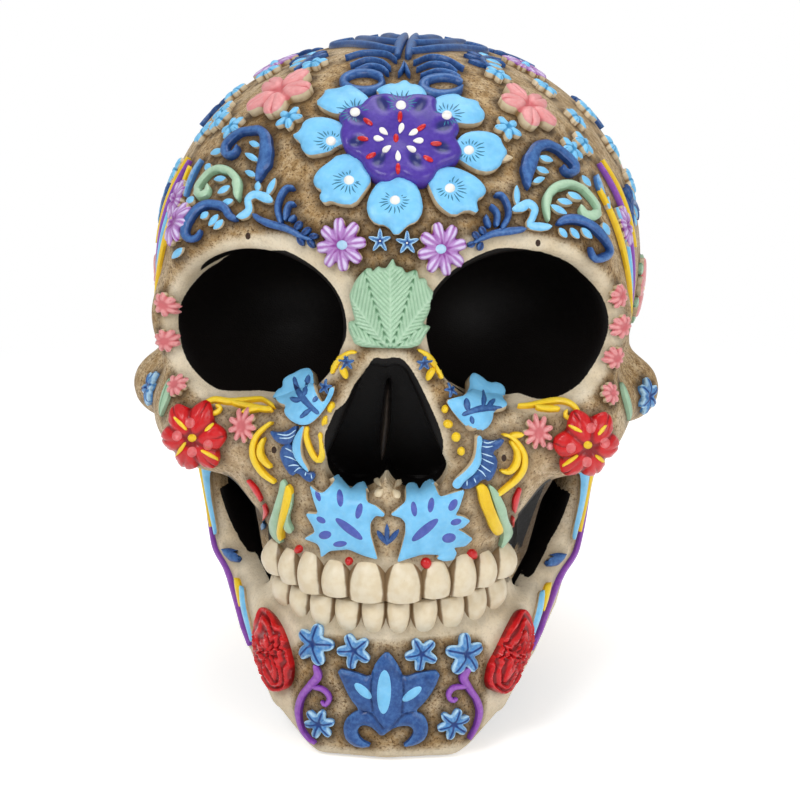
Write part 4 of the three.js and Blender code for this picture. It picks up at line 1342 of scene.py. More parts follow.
def crown_scroll(side, sign):
    x, y, rx, ry = CROWN_RINGS[side]
    turn = np.linspace(0.2, 2 * math.pi - 0.25, 14)
    ring = np.stack((x + rx * np.cos(turn), y + ry * np.sin(turn)), 1)
    relief = band(Relief(), ring, CROWN_RING_WIDTHS, CROWN_HEIGHT, ridge=0.7)
    oval(relief, CROWN_BLOBS[side], 6, 3.6, 80, 1.5)
    bands(relief, CROWN_ARCS[side], CROWN_ARC_WIDTHS, CROWN_HEIGHT, ridge=0.8)
    above = np.array([(CROWN_MIDDLE_X, 0.0, OVER_CROWN_Z)])
    top = cast(above, np.array([(0.0, 0.0, -1.0)]), bone_tree)[0]
    fronds = [np.array(frond) * (sign, 1) for frond in CROWN_FRONDS]
    on_crown = OnPatch(top, bone_tree)
    return bands(relief, fronds, CROWN_FROND_WIDTHS, CROWN_HEIGHT, on_crown, step=0.7, ridge=0.8)


# Brow: dark ferns, mint curls, lower curls, stems and their leaflets
FERN = {
    "left": (
        (259, 184), (262, 175), (267, 162), (268, 149), (267, 139), (262, 133), (252, 133), (242, 135),
        (233, 142), (228, 149), (230, 157), (237, 155), (241, 148),
    ),
    "right": (
        (527, 191), (526, 178), (528, 165), (534, 151), (544, 147), (555, 151), (566, 160), (572, 167),
        (571, 174), (564, 174), (559, 168),
    ),
}
FERN_WIDTHS = {
    "left": (2.5, 8, 12, 12, 11, 9, 7, 7, 8, 9, 8, 6, 3),
    "right": (2.5, 9, 14, 13, 10, 8, 8, 9, 9, 7, 3),
}
MINT_CURL = {
    "left": (
        (240, 203), (239, 194), (239, 183), (234, 175), (226, 171), (218, 171), (211, 175), (205, 182),
        (200, 190), (202, 198), (209, 195), (211, 188),
    ),
    "right": (
        (547, 223), (545, 210), (546, 199), (553, 190), (566, 186), (579, 190), (588, 199), (595, 210),
        (592, 218), (583, 217), (578, 209),
    ),
}
MINT_WIDTHS = {"left": (3, 7, 8, 7, 7, 7, 7, 8, 9, 9, 8, 5), "right": (2.5, 6, 8, 8, 8, 7, 8, 9, 9, 8, 4)}
BROW_CURL = {
    "left": (
        (239, 221), (231, 217), (226, 210), (218, 207), (207, 207), (197, 213), (190, 223), (187, 233),
        (191, 239), (198, 238), (203, 231),
    ),
    "right": (
        (555, 225), (566, 221), (579, 222), (592, 229), (602, 240), (607, 251), (601, 257), (592, 257),
        (588, 247),
    ),
}
BROW_CURL_WIDTHS = (5, 8, 8, 7, 7, 7, 7, 7, 6, 3)
BROW_STEM = {
    "left": ((255, 216), (262, 221), (272, 225), (284, 228), (294, 232), (303, 237), (314, 240)),
    "right": ((524, 230), (507, 232), (493, 234), (480, 239), (472, 243)),
}
BROW_TWIGS = {
    "left": (
        ((283, 225), (279, 211), (282, 198), (288, 190), (296, 190)),
        ((287, 222), (288, 212), (291, 206), (297, 206)), ((291, 223), (297, 217)),
    ),
    "right": (
        ((500, 230), (507, 218), (506, 206), (500, 197), (493, 197)),
        ((495, 228), (496, 215), (489, 207)), ((488, 229), (484, 217)),
    ),
}
BROW_LEAVES = {
    "left": (
        ((296, 231), (303, 222)), ((303, 236), (312, 228)), ((299, 236), (305, 246)),
        ((309, 239), (316, 248)), ((310, 237), (320, 236)),
    ),
    "right": (
        ((484, 236), (479, 227)), ((478, 240), (472, 232)), ((481, 242), (477, 250)),
        ((474, 243), (466, 246)),
    ),
}
SKY_STEM = {
    "left": ((239, 219), (247, 216), (251, 211), (250, 202), (256, 197), (265, 199), (275, 204)),
    "right": (
        (550, 228), (538, 228), (528, 226), (531, 219), (533, 211), (527, 206), (520, 209), (510, 212),
    ),
}
LEAFLETS = {
    "left": (
        ((262, 148), (251, 144)), ((261, 163), (247, 155)), ((258, 178), (247, 173)),
        ((225, 151), (213, 156)), ((216, 182), (228, 180)), ((219, 196), (232, 188)),
        ((223, 206), (235, 202)), ((189, 206), (196, 199)), ((208, 172), (213, 165)),
        ((202, 220), (210, 214)), ((210, 227), (220, 216)), ((215, 230), (225, 221)),
        ((189, 212), (194, 218)), ((175, 258), (185, 247)), ((259, 194), (260, 183)),
        ((268, 198), (277, 180)),
    ),
    "right": (
        ((537, 158), (551, 163)), ((534, 169), (547, 175)), ((531, 184), (543, 180)),
        ((566, 195), (580, 202)), ((556, 202), (571, 206)), ((549, 207), (566, 216)),
        ((579, 177), (588, 188)), ((558, 229), (566, 238)), ((569, 229), (578, 239)),
        ((580, 229), (590, 239)), ((516, 208), (515, 187)), ((600, 224), (606, 236)),
    ),
}


def brow_fern(side, sign):
    scallop = (9, 0.16, -sign)
    return band(Relief(), FERN[side], FERN_WIDTHS[side], 1.9, lanes=8, scallop=scallop)


def mint_curl(side, sign):
    scallop = (9, 0.3, sign)
    return band(Relief(), MINT_CURL[side], MINT_WIDTHS[side], 1.8, lanes=8, scallop=scallop)


def brow_curl(side, sign):
    return band(Relief(), BROW_CURL[side], BROW_CURL_WIDTHS, 1.8)


def brow_stem(side, sign):
    relief = band(Relief(), BROW_STEM[side], (5, 7, 7, 6, 3), 1.6)
    bands(relief, BROW_TWIGS[side], (5, 5.5, 5, 4), 1.7)
    return leaves(relief, BROW_LEAVES[side], 6, 1.7, vein=0.25)


def sky_leaves(side, sign):
    relief = band(Relief(), SKY_STEM[side], (5, 8, 7, 7, 8, 10, 5), 1.6)
    return leaves(relief, LEAFLETS[side], 6.2, 1.3)


# Flowers of the forehead and temples, by the middle of each on the sheet
PINK_BLOSSOM = {"left": ((283, 97), 9.6, 20), "right": ((525, 111), 8.4, 8)}
SMALL_FLOWERS = (
    (270, 76), (237, 96), (218, 106), (223, 123), (235, 130), (291, 121), (200, 130), (180, 172), (315, 68),
    (543, 91), (506, 131), (573, 121), (584, 113), (580, 146), (569, 152), (608, 148), (626, 182), (496, 78),
)
DAISY = {"left": (342, 245), "right": (441, 249)}
TEMPLE_DAISIES = ((180, 201), (178, 224), (622, 227))
BROW_STARS = ((380, 241), (407, 243))
RIM_BLOSSOMS = ((166, 304), (167, 340), (178, 386), (617, 296), (620, 326), (613, 357), (608, 394))
CHEEK_DAISIES = ((244, 426), (537, 432))
CHEEK_BEAD = (550, 446)
DAISY_FORM = {"notch": 0.3, "broad": 4.2, "crease": 0.6, "style": "strip"}


def pink_blossom(side, sign):
    point, radius, turn = PINK_BLOSSOM[side]
    form = {"notch": 0.38, "broad": 3.4, "crease": 0.9, "dome": 0.3, "dish": 0.6}
    return flower(Relief(), patch(point), radius, 5, 3.0, turn, **form)


def brow_daisy(side, sign):
    return flower(Relief(), patch(DAISY[side]), 6.2, 8, 2.0, 10, step=0.28, **DAISY_FORM)


def small_flowers():
    form = {"notch": 0.46, "broad": 2.2, "crease": 0.25, "dome": 0.3, "dish": 0.4}
    return flowers(Relief(), SMALL_FLOWERS, 3.9, 5, 1.8, 0, 17, step=0.3, **form)


def temple_daisies():
    return flowers(Relief(), TEMPLE_DAISIES, 5.6, 8, 1.8, 0, 12, step=0.3, **DAISY_FORM)


def small_blossoms():
    relief = Relief()
    flowers(relief, RIM_BLOSSOMS, 3.1, 8, 1.6, 0, 21, notch=0.24, broad=3.0, crease=0.3, step=0.28)
    flowers(relief, CHEEK_DAISIES, 4.1, 9, 1.7, 0, 16, notch=0.34, broad=2.6, crease=0.5, step=0.28)
    return oval(relief, CHEEK_BEAD, 4, 4, 0, 1.2)


def brow_stars():
    relief = Relief()
    for point in BROW_STARS:
        star(relief, patch(point), 3.0, 1.6)
    return relief


# Nose leaf: five ribbed leaflets that fan out between the orbits, by the lean of each from upright
NOSE_LEAF = (
    (393, 258), (396, 266), (402, 267), (406, 273), (416, 269), (418, 278), (425, 278), (426, 284),
    (431, 290), (428, 303), (424, 315), (420, 323), (426, 326), (422, 335), (418, 344), (410, 347),
    (387, 347), (364, 346), (356, 343), (351, 329), (351, 321), (357, 320), (355, 313), (351, 294),
    (356, 281), (360, 275), (367, 268), (371, 268), (373, 271), (378, 266), (382, 268), (386, 268),
)
NOSE_LEAF_ROOT = (390, 350)
NOSE_LEAFLETS = (-66, -34, 0, 34, 66)
NOSE_LEAFLET_HALF = math.radians(17)
NOSE_RIB_PITCH = 1.25
NOSE_RIB_LEAN = 1.1


def nose_leaf():
    leans = np.radians(NOSE_LEAFLETS)

    def shape(plan, inset):
        off = (plan - NOSE_LEAF_ROOT) * SHEET_UNIT
        far = lengths(off)
        turn = np.arctan2(off[:, 0], -off[:, 1])[:, None] - leans
        nearest = np.abs(turn).argmin(1)
        local = np.abs(turn[np.arange(len(plan)), nearest])
        next_gap = far * np.sin(np.clip(NOSE_LEAFLET_HALF - local, 0, 1))
        aside = far * np.sin(local)
        rib = np.cos(2 * math.pi * (far * np.cos(local) - NOSE_RIB_LEAN * aside) / NOSE_RIB_PITCH)
        part = ease(inset / 0.9)
        spine = 1 - ease(aside / 0.4)
        groove = 1 - ease(next_gap / 0.5)
        rise = 0.45 * part + 0.16 * rib * part * (1 - spine) + 0.12 * spine - 0.4 * groove * part
        tone = (0.6 * rib * (1 - spine) + 0.6 * spine) * part - 0.7 * groove - 0.3 * (1 - part)
        return rise, tone

    return plate(Relief(), softened(NOSE_LEAF, 1, 0.12), on_sheet, 1.6, 0.3, shape)


# Cheeks
CHEEK_BLOSSOM = {
    "left": (
        (275, 401), (281, 391), (286, 390), (286, 382), (291, 378), (298, 375), (305, 371), (312, 370),
        (316, 374), (317, 383), (319, 395), (324, 403), (329, 394), (332, 386), (336, 386), (332, 397),
        (323, 412), (313, 423), (304, 425), (295, 421), (287, 414), (290, 408), (281, 407),
    ),
    "right": (
        (445, 400), (453, 398), (462, 398), (467, 390), (466, 381), (470, 375), (478, 379), (486, 386),
        (496, 385), (503, 391), (501, 402), (507, 409), (501, 412), (491, 413), (489, 422), (482, 429),
        (472, 431), (464, 426), (456, 417), (449, 407),
    ),
}
CHEEK_VEINS = {
    "left": (
        ((294, 377), (297, 388), (302, 397), (310, 406), (319, 414)), ((309, 375), (306, 387), (304, 396)),
        ((290, 398), (296, 400), (302, 399)), ((300, 418), (307, 412), (312, 408)), ((318, 396), (313, 402)),
    ),
    "right": (
        ((462, 415), (475, 410), (487, 408), (503, 409)), ((466, 398), (467, 405), (468, 411)),
        ((483, 390), (484, 398), (483, 406)), ((495, 399), (491, 403), (487, 407)), ((473, 424), (471, 416)),
    ),
}
CHEEK_VEIN_WIDTHS = (1.3, 1.3, 1.1, 1.0, 0.9)
CHEEK_ROSE = {"left": ((195, 437), 8), "right": ((586, 445), -8)}
ROSE_OVALS = ((190, 423), (177, 436), (208, 445), (192, 452), (591, 428), (571, 448), (587, 462), (605, 443))
ROSE_LINES = (
    ((174, 417), (187, 430)), ((214, 423), (205, 431)), ((176, 456), (186, 442)), ((220, 460), (201, 450)),
    ((568, 425), (582, 432)), ((606, 425), (598, 435)), ((562, 466), (578, 455)), ((605, 462), (595, 455)),
)
ROSE_MIDDLES = ((192, 438), (588, 445))
UPPER_SCROLL = {
    "left": (
        (
            (276, 409), (268, 404), (261, 401), (246, 402), (229, 403), (215, 401), (207, 404),
            (205, 410), (210, 414), (217, 413), (221, 409), (216, 407),
        ),
        ((231, 404), (245, 407), (261, 410), (274, 411)), ((243, 414), (252, 411), (261, 410)),
    ),
    "right": (
        (
            (517, 408), (530, 407), (545, 404), (560, 402), (571, 405), (577, 412), (572, 419),
            (565, 416), (567, 411),
        ),
        ((535, 409), (548, 410), (560, 410)),
    ),
}
CHEEK_SCROLL = {
    "left": (
        ((274, 422), (265, 428), (257, 437), (254, 449), (257, 461), (265, 473), (277, 482)),
        ((266, 437), (262, 445), (262, 454), (267, 462), (273, 467)),
    ),
    "right": (
        ((501, 434), (509, 436), (517, 443), (523, 454), (522, 467), (515, 478), (505, 487), (496, 494)),
        ((509, 440), (516, 451), (515, 463), (508, 471), (499, 470)), ((509, 435), (522, 434)),
    ),
}
NOSE_BRACKET = (
    (308, 426), (307, 435), (310, 446), (315, 456), (319, 459), (322, 451), (322, 441), (320, 432),
)
NOSE_BEADS = (
    (331, 407, 4, 6, 20), (325, 421, 3.4, 6, 20), (445, 409, 3.6, 4.4, 20), (448, 424, 5, 4.4, 20),
    (456, 437, 4.6, 5, 20), (461, 451, 3.8, 4.4, 20),
)
NOSE_EYES = {
    "left": ((333, 374), (337, 364), (343, 357), (350, 352), (357, 352)),
    "right": ((417, 349), (424, 353), (430, 360), (436, 369), (441, 379)),
}
NOSE_EYE_CORES = ((344, 372, 3.6, 7.4, -24), (430, 374, 3.6, 7.4, 26))
SPRAY_FANS = {
    "left": (
        ((271, 430), (279, 432), (289, 431), (299, 424), (299, 431), (294, 442), (287, 444), (277, 440)),
        (
            (294, 442), (285, 444), (281, 453), (285, 464), (293, 476), (299, 471), (306, 479),
            (313, 482), (317, 472), (307, 471), (299, 462), (295, 453),
        ),
    ),
    "right": (
        (
            (478, 437), (491, 441), (504, 437), (499, 446), (490, 451), (496, 458), (495, 469),
            (488, 481), (482, 477), (472, 487), (460, 488), (460, 480), (473, 474), (480, 463),
        ),
    ),
}
SPRAY_CRESCENTS = {
    "left": (
        (304, 426), (295, 440), (296, 454), (303, 464), (311, 472), (309, 465), (304, 456), (303, 444),
        (305, 433), (307, 425),
    ),
    "right": (
        (474, 433), (480, 436), (478, 447), (480, 460), (473, 473), (463, 480), (458, 488), (451, 486),
        (455, 477), (465, 468), (472, 458), (474, 446),
    ),
}
SPRAY_LINES = (
    ((277, 434), (288, 435), (297, 429)), ((279, 438), (289, 438), (296, 434)),
    ((285, 448), (291, 451), (295, 455)), ((284, 456), (291, 458), (297, 461)),
    ((288, 466), (294, 465), (300, 466)), ((294, 472), (299, 468), (303, 468)), ((305, 476), (306, 472)),
    ((312, 479), (311, 474)), ((497, 440), (488, 443), (481, 441)), ((493, 446), (487, 447), (481, 446)),
    ((493, 457), (487, 455), (481, 453)), ((494, 464), (487, 461), (481, 458)),
    ((491, 472), (485, 468), (480, 464)), ((486, 477), (482, 472), (477, 469)), ((476, 483), (474, 478)),
    ((467, 486), (467, 480)),
)
CHEEK_STARS = ((451, 390), (325, 387), (347, 362), (424, 363))


def domed(height, reach):
    """A shape that rises softly from the edge, with one even tone."""
    return lambda plan, inset: (height * ease(inset / reach), np.zeros(len(plan)))


def cheek_blossom(side, sign):
    loop = CHEEK_BLOSSOM[side]
    return plate(Relief(), softened(loop), OnRim(loop, bare_tree), 1.9, 0.42, domed(0.4, 2.4))


def cheek_rose(side, sign):
    point, turn = CHEEK_ROSE[side]
    form = {"notch": 0.2, "broad": 2.4, "crease": 0.9, "dome": 0.9, "dish": 0.5}
    return flower(Relief(), patch(point), 8.6, 6, 2.8, turn, **form)


def cheek_scroll(side, sign):
    return bands(Relief(), CHEEK_SCROLL[side], (3, 5, 6, 6, 5, 3.5), 1.5)


def yellow_trim():
    relief = Relief()
    for side, _ in SIDES:
        bands(relief, UPPER_SCROLL[side], (3, 4.5, 5, 5, 4.5, 4), 1.3)
        band(relief, NOSE_EYES[side], (2.5, 4.5, 5, 4, 2.5), 0.9)
    band(relief, NOSE_BRACKET, (4, 5, 5, 5, 4), 1.1)
    ovals(relief, NOSE_EYE_CORES, 1.2)
    return ovals(relief, NOSE_BEADS, 1.1)


def cheek_spray(side, sign):
    return plates(Relief(), SPRAY_FANS[side], 1, 1.5, 0.36)


def spray_crescents():
    return plates(Relief(), SPRAY_CRESCENTS.values(), 2, 2.0, 0.36)


# Upper jaw
GUM_LEAF_MINT = {
    "left": (
        (
            (283, 477), (289, 483), (287, 495), (282, 509), (280, 521), (281, 533), (286, 544),
            (275, 536), (271, 522), (275, 509), (277, 502), (281, 490),
        ),
        ((294, 487), (294, 504), (289, 518), (296, 530), (290, 531), (285, 524), (289, 510), (292, 498)),
    ),
    "right": (
        (
            (486, 482), (495, 488), (504, 505), (505, 515), (510, 527), (507, 538), (497, 549),
            (500, 537), (501, 527), (496, 513), (491, 497),
        ),
    ),
}
GUM_LEAF_CORE = {
    "left": (
        (289, 482), (295, 489), (292, 504), (288, 518), (285, 527), (286, 541), (280, 533), (281, 518),
        (285, 500), (287, 489),
    ),
    "right": (
        (474, 484), (485, 482), (490, 500), (496, 515), (501, 527), (496, 532), (490, 531), (485, 517),
        (478, 501), (477, 491),
    ),
}
LIP_LEAF = {
    "left": (
        (311, 484), (319, 491), (324, 492), (329, 487), (334, 475), (341, 484), (350, 493), (355, 489),
        (365, 482), (368, 494), (368, 503), (377, 505), (385, 512), (384, 515), (376, 514), (371, 521),
        (371, 532), (375, 546), (378, 558), (365, 554), (350, 547), (340, 548), (332, 549), (324, 556),
        (322, 545), (319, 541), (306, 536), (317, 530), (315, 524), (307, 511), (320, 512), (315, 498),
    ),
    "right": (
        (404, 490), (408, 486), (416, 487), (420, 494), (425, 486), (433, 479), (438, 488), (440, 497),
        (451, 492), (464, 488), (458, 506), (454, 513), (461, 514), (469, 518), (462, 525), (456, 527),
        (461, 529), (471, 536), (463, 544), (452, 545), (455, 551), (452, 558), (442, 560), (435, 557),
        (438, 553), (421, 552), (407, 557), (397, 561), (401, 546), (405, 531), (405, 521), (401, 516),
        (390, 513), (398, 507), (405, 503),
    ),
}
LIP_OVALS = (
    (318, 496, 2.4, 5.6, -20), (340, 498, 3.3, 8.8, -4), (359, 511, 3.3, 8, 14), (321, 520, 3, 5, -62),
    (325, 535, 4.2, 6.4, 80), (340, 544, 3, 7, 84), (349, 529, 4.2, 17, -52),
    (414, 509, 3, 7.6, -8), (431, 505, 3.2, 7.6, 8), (453, 505, 3.8, 6.6, 32), (456, 522, 3.2, 5.6, 74),
    (449, 538, 4.8, 7, 80), (425, 530, 4.4, 17, 50),
)
LIP_STAR = (((387, 544), (377, 530)), ((387, 545), (387, 523)), ((387, 544), (399, 529)))
BONE_PETALS = (
    ((382, 487), (376, 479)), ((394, 488), (401, 480)), ((384, 490), (376, 497)), ((392, 491), (399, 499)),
)
GUM_DOTS = ((299, 549, 4.2), (349, 561, 4.2), (426, 563, 5.6), (472, 554, 5.2))


def gum_leaf(side, sign):
    return plates(Relief(), GUM_LEAF_MINT[side], 2, 1.6, 0.4)


def gum_cores():
    return plates(Relief(), GUM_LEAF_CORE.values(), 2, 2.0, 0.38)


def lip_leaf(side, sign):
    return plate(Relief(), softened(LIP_LEAF[side], 1, 0.14), on_sheet, 1.6, 0.38, domed(0.3, 2.0))


# Lower jaw
CARNATION = {
    "left": (
        (265, 607), (276, 614), (286, 632), (292, 651), (296, 669), (292, 688), (276, 691), (267, 676),
        (260, 657), (258, 636), (261, 619),
    ),
    "right": (
        (515, 609), (523, 611), (529, 630), (527, 648), (521, 660), (514, 676), (506, 690), (494, 692),
        (483, 686), (486, 665), (494, 651), (504, 630),
    ),
}
JAW_FLOWERS = {
    "left": ((315, 644, 5.0, 5), (355, 650, 4.2, 5), (320, 723, 3.8, 6)),
    "right": ((464, 654, 5.0, 5), (421, 653, 4.0, 5), (453, 723, 3.9, 6)),
}
JAW_FLOWER_FORM = {"notch": 0.42, "broad": 2.8, "crease": 0.6, "dome": 0.3, "dish": 0.3, "style": "edge"}
CHIN_CURL = {
    "left": (
        ((316, 664), (319, 675), (313, 684), (304, 695), (300, 710), (303, 726), (310, 737), (317, 742)),
        ((314, 686), (324, 689), (330, 697), (326, 704), (322, 700)),
    ),
    "right": (
        ((470, 665), (462, 676), (467, 687), (475, 699), (478, 712), (474, 726), (467, 738)),
        ((464, 686), (453, 687), (448, 694), (452, 700), (456, 697)),
    ),
}
LOTUS = (
    (387, 650), (394, 658), (400, 668), (403, 677), (420, 671), (441, 669), (434, 687), (424, 701),
    (414, 710), (424, 714), (428, 724), (426, 736), (416, 743), (401, 745), (410, 738), (414, 730),
    (410, 724), (401, 724), (394, 726), (389, 729), (382, 735), (376, 728), (370, 724), (362, 723),
    (357, 730), (362, 739), (374, 744), (359, 746), (347, 739), (344, 728), (346, 718), (354, 711),
    (361, 709), (351, 697), (344, 682), (337, 667), (355, 671), (371, 677), (374, 666), (380, 657),
)
LOTUS_OVALS = ((384, 692, 7, 22, 2), (363, 691, 4.4, 11, -48), (412, 694, 4.4, 11.5, 54))
LOTUS_GROOVES = (
    ((373, 672), (372, 690), (374, 708)), ((402, 674), (403, 692), (401, 710)),
    ((362, 709), (373, 712), (384, 726)), ((413, 710), (402, 713), (391, 726)),
)


def carnation(side, sign):
    loop = softened(CARNATION[side], 2)
    middle = loop.mean(0)

    def shape(plan, inset):
        off = plan - middle
        angle = np.arctan2(off[:, 1], off[:, 0])
        depth = inset / inset.max()
        sway = 0.26 * np.sin(5 * angle) + 0.16 * np.sin(11 * angle + 1)
        ruffle = np.sin(2 * math.pi * (2.6 * depth + sway))
        return 0.9 * depth + 0.55 * ruffle, 0.9 * ruffle - 0.3

    return plate(Relief(), loop, on_sheet, 2.0, 0.34, shape)


def jaw_flower(side, sign):
    relief = Relief()
    for n, (x, y, radius, petals) in enumerate(JAW_FLOWERS[side]):
        turn = 31 * n + 12
        flower(relief, patch((x, y)), radius * 1.1, petals, 1.7, turn, step=0.28, **JAW_FLOWER_FORM)
    return relief


def chin_curl(side, sign):
    stem, branch = CHIN_CURL[side]
    relief = band(Relief(), stem, (3, 8, 7, 6, 6, 5, 4, 2.5), 1.4)
    return band(relief, branch, (5, 4.5, 5, 5, 3), 1.3)


def chin_lotus():
    grooves = np.vstack([smooth_path(path, 2.0) for path in LOTUS_GROOVES])

    def shape(plan, inset):
        gap = np.linalg.norm(plan[:, None] - grooves, axis=2).min(1) * SHEET_UNIT
        groove = 1 - ease(gap / 0.7)
        bevel = ease(inset / 1.5)
        return 0.55 * bevel - 0.6 * groove, 0.5 * (1 - bevel) - 0.8 * groove

    return plate(Relief(), softened(LOTUS), on_sheet, 1.5, 0.42, shape)


# Bands along the temples and the jaw's edges on the sheet: name, paths, widths, height, paint and slot
SHEET_BANDS = (
    ("temple_yellow", (((192, 167), (188, 177), (184, 188)),), (4, 6, 4), 1.2, YELLOW, "yellow"),
    ("temple_blue", (
        ((204, 161), (197, 172), (191, 186), (188, 198)), ((594, 176), (597, 186), (601, 196)),
    ), (4, 8, 8, 4), 1.4, MID, "deep_blue"),
    ("temple_sky", (((604, 198), (606, 210)),), (4, 6, 4), 1.4, SKY, "sky_blue"),
    ("jaw_edge_red", (
        ((249, 479), (256, 488), (263, 500)), ((265, 503), (267, 511), (265, 519)),
        ((519, 487), (515, 498), (513, 511)), ((512, 515), (511, 525)),
    ), (3, 6, 4), 1.0, RED, "red"),
    ("jaw_edge_blue", (
        ((265, 520), (264, 529)), ((514, 532), (512, 542)),
    ), (4, 6, 4), 0.9, MID, "deep_blue"),
)
# Bands on both sides of the head and the jaw, in millimetres back and up: name, paths, bone, paint and slot
FLANK_BANDS = (
    ("jaw_side_sky", (
        ((-29, 75), (-29, 65), (-30, 56), (-34, 47)), ((-49, 37), (-54, 31), (-59, 25)),
    ), jaw_tree, SKY, "sky_blue"),
    ("jaw_side_yellow", (
        ((-25, 75), (-25, 66), (-26, 57), (-30, 48)), ((-45, 38), (-51, 32)),
    ), jaw_tree, YELLOW, "yellow"),
    ("jaw_side_purple", (
        ((-21, 75), (-21, 64), (-23, 53), (-29, 44), (-38, 37), (-48, 30), (-57, 23)),
    ), jaw_tree, PURPLE, "violet"),
    ("jaw_side_deep", (
        ((-17, 74), (-17, 64), (-19, 55)), ((-38, 44), (-43, 42)),
    ), jaw_tree, DEEP, "deep_blue"),
    ("temple_side_sky", (((-39, 141), (-37, 128), (-36, 113)),), bare_tree, SKY, "sky_blue"),
    ("temple_side_yellow", (
        ((-45, 147), (-43, 134), (-42, 120), (-44, 106)), ((-30, 152), (-27, 140), (-26, 128)),
    ), bare_tree, YELLOW, "yellow"),
    ("temple_side_purple", (
        ((-35, 152), (-32, 138), (-31, 122), (-33, 108)),
    ), bare_tree, PURPLE, "violet"),
)
ARCH_LEAVES = ((167, 398), (625, 402))
ARCH_FLOWERS = ((152, 388), (646, 396))
FLANK_WIDTHS = (1.4, 2.6, 2.8, 2.4, 1.4)
FLANK_HEIGHT = 1.4


def flanks(paths, tree):
    """Bands on both sides alike."""
    relief = Relief()
    for _, sign in SIDES:
        bands(relief, paths, FLANK_WIDTHS, FLANK_HEIGHT, OnFlank(sign, tree), ridge=0.6)
    return relief


def arch_flowers():
    form = {"notch": 0.4, "broad": 2.6, "crease": 0.5, "style": "edge"}
    return flowers(Relief(), ARCH_FLOWERS, 4.6, 6, 1.6, 20, 0, step=0.3, **form)


def arch_leaves():
    relief = Relief()
    for point in ARCH_LEAVES:
        leaf(relief, (0.0, -5.0), (0.0, 5.5), 3.6, 1.3, patch(point), vein=0.3)
    return relief


# Ornament where the photo shows none: flowers and sprigs in rings round the vault, by the rise of each ring
# from level in degrees and how many go round it
GARDEN_MIDDLE = np.array((0.0, 8.0, 112.0))
GARDEN_RINGS = ((-42, 12), (-21, 16), (0, 18), (20, 18), (40, 14), (60, 9), (82, 4))
GARDEN_FRONT_Y = -46
GARDEN_CLEARANCE = 9.0
GARDEN_SPACING = 16.0
GARDEN_ORBIT_GAP = 9.0
GARDEN_START = 160.0
GARDEN_MIDLINE = 0.01
BLOSSOM_LEAF_TURNS = (54, 126, 198, 270, 342)
BELL_LEAF_TIPS = ((8.5, -6.0), (-8.5, -6.0), (8.5, 6.5), (-8.5, 6.5))
SPRIG = ((-10.5, -3.5), (-5, 0), (1, 1.2), (7, 0), (11, -3))
SPRIG_WIDTHS = (0.9, 1.7, 1.9, 1.6, 0.9)
SPRIG_LEAVES = (
    ((-7, -1), (-7.6, 4.2)), ((-5, -0.4), (-2.2, -5)), ((-2, 0.9), (-1.6, 6.2)), ((1, 0.8), (4, -4)),
    ((3.4, 1.3), (5, 6)), ((7, -0.4), (10.4, 3.4)), ((7, -0.6), (7.6, -5)),
)


def garden_blossom(beds, place, sign):
    flower(beds["pink"], place, 8.6, 5, 1.7, 18, notch=0.38, broad=3.2, crease=0.7, dome=0.3, dish=0.5)
    oval(beds["yellow"], (0, 0), 1.5, 1.5, 0, 2.0, place)
    for turn in np.radians(BLOSSOM_LEAF_TURNS):
        way = np.array((math.cos(turn), math.sin(turn)))
        leaf(beds["mint"], way * 5.6, way * 10.4, 2.6, 1.1, place, vein=0.2)


def garden_daisy(beds, place, sign):
    form = {"notch": 0.34, "broad": 3.2, "crease": 0.5, "style": "strip"}
    flower(beds["lilac"], place, 7.0, 9, 1.6, 10, step=0.34, **form)
    oval(beds["sky"], (0, 0), 1.8, 1.8, 0, 2.4, place)


def garden_bell(beds, place, sign):
    form = {"notch": 0.44, "broad": 2.4, "crease": 0.4, "dome": 0.3, "dish": 0.4}
    flower(beds["sky"], place, 6.0, 5, 1.6, 18, step=0.36, **form)
    oval(beds["yellow"], (0, 0), 1.3, 1.3, 0, 1.9, place)
    for tip in BELL_LEAF_TIPS:
        leaf(beds["mint"], np.array(tip) * 0.5, tip, 2.8, 1.2, place, vein=0.2)


def garden_sprig(beds, place, sign):
    band(beds["deep"], np.array(SPRIG) * (sign, 1), SPRIG_WIDTHS, 1.5, place, ridge=0.6)
    for n, (base, tip) in enumerate(SPRIG_LEAVES):
        bed = beds["sky"] if n % 2 else beds["deep"]
        leaf(bed, np.array(base) * (sign, 1), np.array(tip) * (sign, 1), 2.5, 1.3, place, vein=0.2)


GARDEN_KINDS = (garden_bell, garden_sprig, garden_daisy, garden_sprig, garden_blossom)


def garden(front):
    """The reliefs of the rings by their paint, on both sides alike, where the front ornament leaves room."""
    beds = {bed: Relief() for bed, _, _ in GARDEN_BEDS}
    spots = [np.zeros(3)]
    for ring, (rise, count) in enumerate(GARDEN_RINGS):
        level, lift = math.cos(math.radians(rise)), math.sin(math.radians(rise))
        for n in range(count // 2 + 1):
            turn = (n + ring % 2 / 2) / count * 2 * math.pi
            off_midline = GARDEN_MIDLINE < turn < math.pi - GARDEN_MIDLINE
            for _, sign in SIDES if off_midline else SIDES[1:]:
                way = np.array((sign * math.sin(turn) * level, math.cos(turn) * level, lift))
                spot = cast([GARDEN_MIDDLE + way * GARDEN_START], [-way], bare_tree)[0]
                clear = front.find_nearest(Vector(spot), GARDEN_CLEARANCE)[0] is None
                clear = clear and orbit_field(*spot) > GARDEN_ORBIT_GAP
                clear = clear and lengths(np.array(spots) - spot).min() > GARDEN_SPACING
                if clear and spot[1] > GARDEN_FRONT_Y and turn < math.pi:
                    spots.append(spot)
                    GARDEN_KINDS[(2 * ring + n) % len(GARDEN_KINDS)](beds, OnPatch(spot, bone_tree), sign)
    return beds


